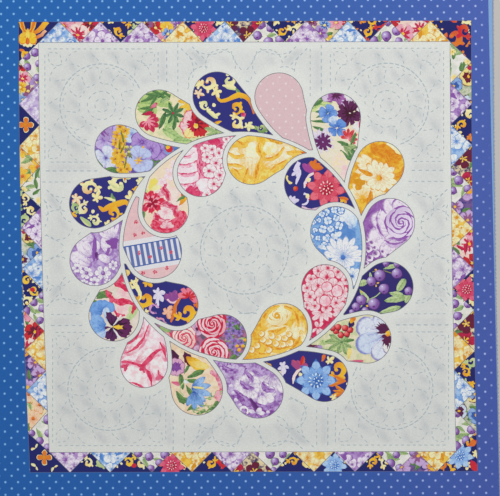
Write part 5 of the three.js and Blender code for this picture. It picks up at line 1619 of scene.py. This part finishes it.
edge_loop = loop_of(tris)
under, under_faces, under_ids = [tuple(TOP[i]) for i in edge_loop], [list(range(len(edge_loop)))], [BLUE_PAINT]
for poly, ident in [(frame_quad, LINE_PAINT), (inner_quad, GROUND_PAINT)] + [(simplify(q, 0.5), None) for q in feather_shapes]:
    q = facing(poly)
    under_faces.append(list(range(len(under), len(under) + len(q))))
    under_ids.append(ident)
    under.extend(map(tuple, q))
ux, uy = np.meshgrid(np.arange(-10, 498, 11.0), np.arange(-5, 503, 11.0))
ux, uy = ux.ravel(), uy.ravel()
free = np.min(np.hypot(ux[:, None] - rim[None, :, 0], uy[:, None] - rim[None, :, 1]), axis=1) > 5
under.extend(zip(ux[free], uy[free]))
BACK, back_tris, back_own = cdt(under, under_faces, eps=1e-4)
keep = [k for k, o in enumerate(back_own) if 0 in o]
kept, back_tris = np.unique(back_tris[keep], return_inverse=True)
BACK, back_tris = BACK[kept], back_tris.reshape(-1, 3)
back_id = np.array([max(back_own[k]) for k in keep])
key = {(round(x, 3), round(y, 3)): i for i, (x, y) in enumerate(BACK)}
back_loop = [key[(round(TOP[i][0], 3), round(TOP[i][1], 3))] for i in edge_loop]


def heights(P, extra):
    mm = to_mm(P)
    z = lift(mm[:, 0], mm[:, 1]) + extra
    return np.column_stack([mm[:, 0] + SHIFT[0], mm[:, 1] + SHIFT[1], z]) * 0.001


nt = len(TOP)
verts = np.vstack([heights(TOP, THICK), heights(BACK, 0.0)])
top_faces = tris
low_faces = back_tris[:, ::-1] + nt
a, b = np.array(edge_loop), np.roll(edge_loop, -1)
la, lb = np.array(back_loop) + nt, np.roll(back_loop, -1) + nt
side_faces = np.vstack([np.column_stack([la, lb, b]), np.column_stack([la, b, a])])
all_faces = np.vstack([top_faces, low_faces, side_faces])

mesh = bpy.data.meshes.new("quilt_cloth")
mesh.vertices.add(len(verts))
mesh.vertices.foreach_set("co", verts.astype(np.float32).ravel())
mesh.loops.add(all_faces.size)
mesh.loops.foreach_set("vertex_index", all_faces.astype(np.int32).ravel())
mesh.polygons.add(len(all_faces))
mesh.polygons.foreach_set("loop_start", (np.arange(len(all_faces)) * 3).astype(np.int32))
mesh.update(calc_edges=True)
mesh.validate()

# ---- what each corner of each triangle carries
kinds = np.array([p[0] for p in Print.paints], float)
colA = np.array([p[1] for p in Print.paints])
colB = np.array([p[2] for p in Print.paints])
maps = np.array([p[3] for p in Print.paints])
corner = TOP[tris]                                        # n, 3, 2
M_ = maps[paint]                                          # n, 2, 3
uv = np.einsum("nij,nkj->nki", M_[:, :, :2], corner) + M_[:, None, :, 2]
A = np.repeat(colA[paint][:, None], 3, axis=1)
B = np.repeat(colB[paint][:, None], 3, axis=1)
K = np.repeat(kinds[paint][:, None], 3, axis=1)

shade = quilt_shade(TOP[:, 0], TOP[:, 1])
is_ground = paint == GROUND_PAINT
uv[is_ground, :, 0] = shade[tris[is_ground]]
# painted shade: the white ground is made darker towards the bottom and towards the left, where the light falls off
painted_falloff_shade = 1.0 - 0.045 * smooth(200, 500, corner[..., 1]) - 0.035 * smooth(260, 0, corner[..., 0])
A[is_ground] *= painted_falloff_shade[is_ground][..., None]
B[is_ground] *= painted_falloff_shade[is_ground][..., None]
is_blue = paint == BLUE_PAINT
X, Y = corner[is_blue][..., 0], corner[is_blue][..., 1]
LX, LY = lattice(X, Y)
uv[is_blue] = np.stack([LX, LY], -1)
f, g = np.clip(X / 500, 0, 1)[..., None], np.clip(Y / 500, 0, 1)[..., None]
f = f ** 1.3
tone = (1 - f) * np.array((29, 94, 165.0)) + f * np.array((72, 92, 166.0))
# painted shade: the blue, and the dots taken from it, are made darker towards the bottom, where the light falls off
tone = tone * (1 - np.array((0.12, 0.10, 0.06)) * g)
A[is_blue] = ink(tone)
fade = np.clip((print_end(0) + 4.5 * (Y - 30) / 200 - 3.0 - X) / 5.0, 0, 1)[..., None]
B[is_blue] = ink(tone) * (1 - fade) + ink(tone + np.array((92, 84, 62.0))) * fade


def back_tones():
    """the print shows through the reverse, pale and a little uneven"""
    c = np.zeros((len(back_tris), 3, 3))
    blue, white, mixed = ink((150, 168, 204)), ink((206, 207, 208)), [ink(q) for q in
        ((186, 178, 190), (160, 164, 188), (212, 196, 200), (188, 190, 190), (212, 204, 178), (186, 176, 196))]
    for k, ident in enumerate(back_id):
        if ident == 0:
            c[k] = blue
        elif ident == 1:
            c[k] = ink((184, 186, 194))
        elif ident == 2:
            c[k] = white
        else:
            c[k] = mixed[(ident * 5) % 6]
    return c


back_col = back_tones()
n_low, n_side = len(low_faces), len(side_faces)
side_col = np.broadcast_to(ink((150, 170, 206)), (n_side, 3, 3))
full_A = np.concatenate([A, back_col, side_col])
full_B = np.concatenate([B, back_col * 0.93, side_col * 0.9])
full_uv = np.concatenate([np.dstack([uv, K]), np.zeros((n_low, 3, 3)), np.zeros((n_side, 3, 3))])
full_uv[len(tris):, :, 0] = 0.3
# the reverse is blotched all over as the weave lets the dye through
full_uv[len(tris):len(tris) + n_low, :, 2] = BLOT


def corner_data(mesh, name, kind, values):
    layer = mesh.attributes.new(name, kind, "CORNER")
    if kind == "FLOAT_COLOR":
        values = np.concatenate([values, np.ones(values.shape[:-1] + (1,))], -1)
        layer.data.foreach_set("color", values.astype(np.float32).ravel())
    else:
        layer.data.foreach_set("vector", values.astype(np.float32).ravel())


corner_data(mesh, "inkA", "FLOAT_COLOR", full_A)
corner_data(mesh, "inkB", "FLOAT_COLOR", full_B)
corner_data(mesh, "motif", "FLOAT_VECTOR", full_uv)

# where each triangle lies on the OFBake map: the face fills most of it
bake = mesh.uv_layers.new(name="OFBake")
lo, hi = rim.min(0), rim.max(0)
fit = 0.86 / max(hi - lo)
front_uv = np.stack([(corner[..., 0] - lo[0]) * fit + 0.005, (hi[1] - corner[..., 1]) * fit + 0.005], -1)
bc = BACK[back_tris[:, ::-1]]
back_uv = np.stack([0.875 + (bc[..., 0] - lo[0]) * 0.12 / (hi[0] - lo[0]), (hi[1] - bc[..., 1]) * fit + 0.005], -1)
along = np.linspace(0.005, 0.86, len(edge_loop) + 1)
s0, s1 = along[:-1], along[1:]
sa, sb = np.full(len(s0), 0.885), np.full(len(s0), 0.895)
side_uv = np.concatenate([np.stack([np.stack([s0, sa], -1), np.stack([s1, sa], -1), np.stack([s1, sb], -1)], 1),
                          np.stack([np.stack([s0, sa], -1), np.stack([s1, sb], -1), np.stack([s0, sb], -1)], 1)])
bake.data.foreach_set("uv", np.concatenate([front_uv, back_uv, side_uv]).astype(np.float32).ravel())

cloth = bpy.data.objects.new("printed_cloth", mesh)
bpy.context.scene.collection.objects.link(cloth)
smooth_flags = np.zeros(len(all_faces), bool)
smooth_flags[:len(tris) + n_low] = True
mesh.polygons.foreach_set("use_smooth", smooth_flags)


def corner_normals():
    """smooth over the face and over the back, each face weighing by its area, so the finest slivers count for nothing"""
    p = np.asarray(verts, float)
    f = np.cross(p[all_faces[:, 1]] - p[all_faces[:, 0]], p[all_faces[:, 2]] - p[all_faces[:, 0]])
    out = np.repeat((f / np.maximum(np.linalg.norm(f, axis=1), 1e-20)[:, None])[:, None], 3, axis=1)
    for part, up in ((slice(0, len(tris)), 1.0), (slice(len(tris), len(tris) + n_low), -1.0)):
        held = np.zeros(p.shape)
        for k in range(3):
            np.add.at(held, all_faces[part, k], f[part])
        held[:, 2] = np.where(held[:, 2] * up > 1e-14, held[:, 2], up * 1e-14)
        held /= np.linalg.norm(held, axis=1)[:, None]
        held[held[:, 2] * up < 0.985] = (0.0, 0.0, up)
        out[part] = held[all_faces[part]]
    return out.reshape(-1, 3)


mesh.normals_split_custom_set(corner_normals())


# ------------------------------------------------------------------ materials
class Nodes:
    """short calls for building a node tree"""

    def __init__(self, name):
        self.material = bpy.data.materials.new(name)
        self.material.use_nodes = True
        self.tree = self.material.node_tree
        self.tree.nodes.clear()
        self.x = 0

    def node(self, kind, **props):
        n = self.tree.nodes.new(kind)
        self.x += 40
        n.location = (self.x, -(self.x * 7) % 900)
        for k, v in props.items():
            setattr(n, k, v)
        return n

    def link(self, a, b):
        self.tree.links.new(a, b)

    def put(self, socket, value):
        if isinstance(value, bpy.types.NodeSocket):
            self.link(value, socket)
        else:
            socket.default_value = value

    def m(self, op, a, b=None, c=None, clamp=False):
        n = self.node("ShaderNodeMath", operation=op, use_clamp=clamp)
        for s, v in zip(n.inputs, (a, b, c)):
            if v is not None:
                self.put(s, v)
        return n.outputs[0]

    def step(self, a, b, x):
        n = self.node("ShaderNodeMapRange", interpolation_type="SMOOTHSTEP", clamp=True)
        self.put(n.inputs["Value"], x)
        self.put(n.inputs["From Min"], a)
        self.put(n.inputs["From Max"], b)
        return n.outputs["Result"]

    def mix(self, fac, a, b):
        n = self.node("ShaderNodeMix", data_type="RGBA", clamp_factor=True)
        for s, v in zip((n.inputs[0], n.inputs[6], n.inputs[7]), (fac, a, b)):
            self.put(s, v)
        return n.outputs[2]

    def noise(self, where, scale, detail=2.0, rough=0.5):
        n = self.node("ShaderNodeTexNoise")
        self.link(where, n.inputs["Vector"])
        n.inputs["Scale"].default_value = scale
        n.inputs["Detail"].default_value = detail
        n.inputs["Roughness"].default_value = rough
        return n.outputs["Fac"]


def weave(t, where, pitch):
    """height of a plain weave, 0 to 1"""
    sep = t.node("ShaderNodeSeparateXYZ")
    t.link(where, sep.inputs[0])
    wob = t.m("MULTIPLY", t.noise(where, 90.0, 1.0), 0.9)
    sx = t.m("SINE", t.m("ADD", t.m("MULTIPLY", sep.outputs[0], math.pi / pitch), wob))
    sy = t.m("SINE", t.m("ADD", t.m("MULTIPLY", sep.outputs[1], math.pi / pitch), wob))
    over = t.m("MULTIPLY_ADD", t.m("MULTIPLY", sx, sy), 0.5, 0.5)
    warp, weft = t.m("ABSOLUTE", sx), t.m("ABSOLUTE", sy)
    return t.m("ADD", t.m("MULTIPLY", warp, over), t.m("MULTIPLY", weft, t.m("SUBTRACT", 1.0, over)))


def cloth_material():
    t = Nodes("printed_cotton_weave")
    coord = t.node("ShaderNodeTexCoord").outputs["Object"]
    colA = t.node("ShaderNodeAttribute", attribute_name="inkA").outputs["Color"]
    colB = t.node("ShaderNodeAttribute", attribute_name="inkB").outputs["Color"]
    sep = t.node("ShaderNodeSeparateXYZ")
    t.link(t.node("ShaderNodeAttribute", attribute_name="motif").outputs["Vector"], sep.inputs[0])
    u, v, kind = sep.outputs
    water = t.noise(coord, 300.0, 3.0, 0.62)           # watercolour pools, 3 to 4 mm
    fine = t.noise(coord, 900.0, 2.0, 0.6)
    wet = t.m("SUBTRACT", water, 0.5)
    half = t.m("SUBTRACT", fine, 0.5)
    r = t.m("SQRT", t.m("ADD", t.m("MULTIPLY", u, u), t.m("POWER", t.m("MULTIPLY_ADD", v, 2.0, -1.0), 2.0)))
    q = t.m("DIVIDE", u, t.m("ADD", t.m("MAXIMUM", v, 0.0), 0.30))
    vein = t.m("POWER", t.m("SUBTRACT", 1.0, t.m("ABSOLUTE", t.m("SINE", t.m("MULTIPLY_ADD", q, 4.6, t.m("MULTIPLY", wet, 3.0))))), 3.0)
    vein = t.m("MULTIPLY", vein, t.m("SUBTRACT", 1.08, v))
    base = t.m("POWER", t.m("SUBTRACT", 1.0, t.m("MINIMUM", t.m("MAXIMUM", v, 0.0), 1.0)), 2.0)
    edge = t.step(0.66, 1.08, r)
    petal_f = t.m("ADD", t.m("ADD", t.m("MULTIPLY", base, 0.85), t.m("MULTIPLY", vein, 0.70)),
                  t.m("ADD", t.m("MULTIPLY", edge, 0.62), t.m("MULTIPLY", wet, 1.5)))
    hair = t.m("POWER", t.m("SUBTRACT", 1.0, t.m("ABSOLUTE", t.m("SINE", t.m("MULTIPLY_ADD", q, 4.0, t.m("MULTIPLY", wet, 4.0))))), 7.0)
    lined_f = t.m("ADD", t.m("MAXIMUM", t.step(0.74, 0.94, r), t.m("MULTIPLY", hair, t.m("SUBTRACT", 1.25, v))),
                  t.m("ADD", t.m("MULTIPLY", t.m("POWER", base, 2.0), 0.9), t.m("MULTIPLY", wet, 1.3)))
    wash_f = t.m("ADD", u, t.m("MULTIPLY", wet, 0.22))
    du, dv = t.m("SUBTRACT", t.m("FRACT", t.m("ADD", u, 0.5)), 0.5), t.m("SUBTRACT", t.m("FRACT", t.m("ADD", v, 0.5)), 0.5)
    dots_f = t.m("SUBTRACT", 1.0, t.step(0.062, 0.172, t.m("SQRT", t.m("ADD", t.m("MULTIPLY", du, du), t.m("MULTIPLY", dv, dv)))))
    stripe_f = t.step(0.17, 0.27, t.m("ABSOLUTE", du))
    turn = t.m("DIVIDE", t.m("ARCTAN2", u, v), 2 * math.pi)
    rr = t.m("SQRT", t.m("ADD", t.m("MULTIPLY", u, u), t.m("MULTIPLY", v, v)))
    phase = t.m("ADD", t.m("ADD", turn, t.m("MULTIPLY", t.m("POWER", rr, 0.8), 3.2)),
                t.m("ADD", t.m("MULTIPLY", t.m("SINE", t.m("MULTIPLY", turn, 10 * math.pi)), 0.13), t.m("MULTIPLY", wet, 0.8)))
    arm = t.m("ABSOLUTE", t.m("SUBTRACT", t.m("FRACT", phase), 0.5))
    swirl_f = t.m("ADD", t.m("MULTIPLY", t.m("SUBTRACT", 1.0, t.step(0.04, 0.30, arm)), 0.85),
                  t.m("MULTIPLY", t.m("POWER", t.m("MAXIMUM", t.m("SUBTRACT", 1.0, rr), 0.0), 2.0), 0.6))
    pool = t.noise(coord, 120.0, 1.0)
    blot_f = t.step(0.42, 0.60, t.m("ADD", t.m("MULTIPLY_ADD", pool, 0.5, t.m("MULTIPLY", water, 0.5)), t.m("MULTIPLY", half, 0.25)))
    bd = t.m("SQRT", t.m("ADD", t.m("POWER", t.m("ADD", u, 0.30), 2.0), t.m("POWER", t.m("ADD", v, 0.35), 2.0)))
    berry_f = t.m("SUBTRACT", 1.0, t.step(0.10, 1.15, bd))
    limit = t.m("ADD", t.m("MULTIPLY_ADD", t.m("SINE", t.m("MULTIPLY", q, 6.5)), 0.17, 0.44), t.m("MULTIPLY", wet, 1.0))
    ragged_f = t.m("ADD", t.m("SUBTRACT", 1.0, t.step(t.m("SUBTRACT", limit, 0.10), t.m("ADD", limit, 0.10), v)),
                   t.m("ADD", t.m("MULTIPLY", edge, 0.28), t.m("MULTIPLY", vein, 0.30)))
    rib = t.m("SUBTRACT", 1.0, t.step(0.05, 0.22, t.m("ABSOLUTE", u)))
    side_vein = t.m("SUBTRACT", 1.0, t.step(0.05, 0.25, t.m("ABSOLUTE", t.m("SUBTRACT", t.m("FRACT", t.m("MULTIPLY_ADD", v, 5.0, t.m("ABSOLUTE", u))), 0.5))))
    leaf_f = t.m("ADD", t.m("ADD", t.m("MULTIPLY", rib, 0.45), t.m("MULTIPLY", side_vein, 0.22)),
                 t.m("ADD", t.m("MULTIPLY", t.step(-0.1, 0.3, u), 0.30), t.m("ADD", t.m("MULTIPLY", edge, 0.55), t.m("MULTIPLY", wet, 0.9))))
    total = None
    for k, f in ((WASH, wash_f), (PETAL, petal_f), (DOTS, dots_f), (STRIPE, stripe_f), (SWIRL, swirl_f), (BLOT, blot_f),
                 (BERRY, berry_f), (RAGGED, ragged_f), (LEAF, leaf_f), (LINED, lined_f)):
        part = t.m("MULTIPLY", t.m("COMPARE", kind, float(k), 0.3), t.m("MAXIMUM", t.m("MINIMUM", f, 1.0), 0.0))
        total = part if total is None else t.m("ADD", total, part)
    colour = t.mix(total, colA, colB)
    # dye takes unevenly on the yarns, and the weave shows as a fine grid whose raised crests are painted lighter, a
    # painted highlight that follows the weave's height
    w = weave(t, coord, 0.00038)
    slub = t.noise(coord, 1500.0, 1.0)
    dye_and_painted_crest_light = t.m("ADD", t.m("MULTIPLY_ADD", half, 0.34, 0.94), t.m("ADD", t.m("MULTIPLY", w, 0.07), t.m("MULTIPLY", t.m("SUBTRACT", slub, 0.5), 0.05)))
    scale = t.node("ShaderNodeVectorMath", operation="SCALE")
    t.link(colour, scale.inputs[0])
    t.link(dye_and_painted_crest_light, scale.inputs["Scale"])
    bump = t.node("ShaderNodeBump")
    bump.inputs["Strength"].default_value = 0.45
    bump.inputs["Distance"].default_value = 0.00008
    t.link(w, bump.inputs["Height"])
    s = t.node("ShaderNodeBsdfPrincipled")
    t.link(scale.outputs[0], s.inputs["Base Color"])
    t.link(t.m("MULTIPLY_ADD", w, -0.08, 0.90), s.inputs["Roughness"])
    t.link(bump.outputs[0], s.inputs["Normal"])
    s.inputs["Specular IOR Level"].default_value = 0.25
    s.inputs["Sheen Weight"].default_value = 0.10
    s.inputs["Sheen Roughness"].default_value = 0.55
    out = t.node("ShaderNodeOutputMaterial")
    t.link(s.outputs[0], out.inputs["Surface"])
    return t.material


mesh.materials.append(cloth_material())


# ------------------------------------------------------------------ the loom edge's fringe
def fringe():
    rng = np.random.default_rng(7)
    n = 1480
    v = (np.arange(n) + 0.5) / n
    v = v + rng.uniform(-0.25, 0.25, n) / n
    root = cloth_point(np.ones(n), v)
    z0 = lift(root[:, 0], root[:, 1]) + THICK * 0.5
    # neighbouring ends cling together in small tufts
    tuft = 0.5 + 0.5 * np.sin(v * 569 / 4.7 * 2 * np.pi + 1.5 * np.sin(v * 31))
    length = 1.35 + 0.75 * tuft + rng.uniform(-0.25, 0.25, n)
    lean = 0.35 * np.cos(v * 569 / 4.7 * 2 * np.pi) + rng.uniform(-0.22, 0.22, n)
    droop = rng.uniform(0.0, 0.12, n)
    V, F, U = [], [], []
    for k in range(n):
        x, y = root[k]
        base = len(V)
        rad = 0.105 + 0.02 * rng.uniform(-1, 1)
        for j, s in enumerate((-0.25, 0.35, 0.72, 1.0)):
            px = x + length[k] * s
            py = y + lean[k] * s * abs(s) * length[k] * 0.5
            pz = z0[k] * (1 if s <= 0 else 1 - 0.35 * s) - droop[k] * s * s + 0.0
            pz = max(pz, 0.11)
            r = rad * (1.0, 0.95, 0.8, 0.35)[j]
            for dy, dz in ((0, 1), (-1, 0), (0, -1), (1, 0)):
                V.append((px, py + dy * r, pz + dz * r))
        F.append((base + 3, base + 2, base + 1, base))
        for j in range(3):
            for i in range(4):
                a, b = base + 4 * j + i, base + 4 * j + (i + 1) % 4
                F.append((a, b, b + 4, a + 4))
        F.append((base + 12, base + 13, base + 14, base + 15))
    V = np.array(V)
    V[:, 0] += SHIFT[0]
    V[:, 1] += SHIFT[1]
    me = bpy.data.meshes.new("loom_fringe")
    me.from_pydata((V * 0.001).tolist(), [], F)
    me.update()
    ob = bpy.data.objects.new("loom_fringe", me)
    bpy.context.scene.collection.objects.link(ob)
    t = Nodes("loom_edge_thread")
    coord = t.node("ShaderNodeTexCoord").outputs["Object"]
    ply = t.noise(coord, 2600.0, 2.0, 0.6)
    tone = t.noise(coord, 160.0, 2.0, 0.5)
    c = t.mix(tone, (*ink((112, 150, 202)), 1), (*ink((166, 190, 214)), 1))
    c = t.mix(t.m("MULTIPLY", ply, 0.5), c, (*ink((88, 118, 184)), 1))
    bump = t.node("ShaderNodeBump")
    bump.inputs["Strength"].default_value = 0.4
    bump.inputs["Distance"].default_value = 0.00005
    t.link(ply, bump.inputs["Height"])
    s = t.node("ShaderNodeBsdfPrincipled")
    t.link(c, s.inputs["Base Color"])
    t.link(t.m("MULTIPLY_ADD", ply, 0.1, 0.82), s.inputs["Roughness"])
    t.link(bump.outputs[0], s.inputs["Normal"])
    s.inputs["Specular IOR Level"].default_value = 0.25
    s.inputs["Sheen Weight"].default_value = 0.15
    out = t.node("ShaderNodeOutputMaterial")
    t.link(s.outputs[0], out.inputs["Surface"])
    me.materials.append(t.material)
    return ob


threads = fringe()

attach(cloth, "root")
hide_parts("quilt_panel")
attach(threads, "root")
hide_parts("selvedge_fringe")


# ------------------------------------------------------------------ floor, light and camera
floor_mesh = bpy.data.meshes.new("floor")
S = 4.0
floor_mesh.from_pydata([(-S, -S, -0.0004), (S, -S, -0.0004), (S, S, -0.0004), (-S, S, -0.0004)], [], [(0, 1, 2, 3)])
floor = bpy.data.objects.new("floor", floor_mesh)
bpy.context.scene.collection.objects.link(floor)
t = Nodes("pale_floor")
coord = t.node("ShaderNodeTexCoord").outputs["Object"]
s = t.node("ShaderNodeBsdfPrincipled")
t.link(t.mix(t.noise(coord, 9.0, 3.0), (0.545, 0.525, 0.50, 1), (0.585, 0.565, 0.54, 1)), s.inputs["Base Color"])
s.inputs["Roughness"].default_value = 0.8
out = t.node("ShaderNodeOutputMaterial")
t.link(s.outputs[0], out.inputs["Surface"])
floor_mesh.materials.append(t.material)

world = bpy.data.worlds.new("studio")
world.use_nodes = True
world.node_tree.nodes["Background"].inputs[0].default_value = (1.0, 1.0, 1.0, 1)
world.node_tree.nodes["Background"].inputs[1].default_value = 0.46
bpy.context.scene.world = world


def softbox(name, at, size, power, colour=(1, 1, 1)):
    light = bpy.data.lights.new(name, "AREA")
    light.shape = "SQUARE"
    light.size = size
    light.energy = power
    light.color = colour
    ob = bpy.data.objects.new(name, light)
    ob.location = at
    ob.rotation_euler = (Vector((0, 0, 0)) - Vector(at)).to_track_quat("-Z", "Y").to_euler()
    bpy.context.scene.collection.objects.link(ob)


softbox("key", (0.5, 1.5, 2.2), 1.6, 34.0, (1.0, 0.995, 0.985))
softbox("fill", (-1.4, -0.6, 2.0), 2.0, 6.0, (0.985, 0.99, 1.0))

camera_data = bpy.data.cameras.new("camera")
camera_data.sensor_width = 36.0
HEIGHT = 1.6
camera_data.lens = 36.0 * (HEIGHT - 0.0005) / (500 * UNIT * 0.001)
camera_data.clip_start = 0.05
camera = bpy.data.objects.new("camera", camera_data)
centre = to_mm(np.array([250.0, 248.0]))
camera.location = ((centre[0] + SHIFT[0]) * 0.001, (centre[1] + SHIFT[1]) * 0.001, HEIGHT)
camera.rotation_euler = (0.0, 0.0, 0.0)
bpy.context.scene.collection.objects.link(camera)
bpy.context.scene.camera = camera
bpy.context.scene.view_settings.view_transform = "Standard"
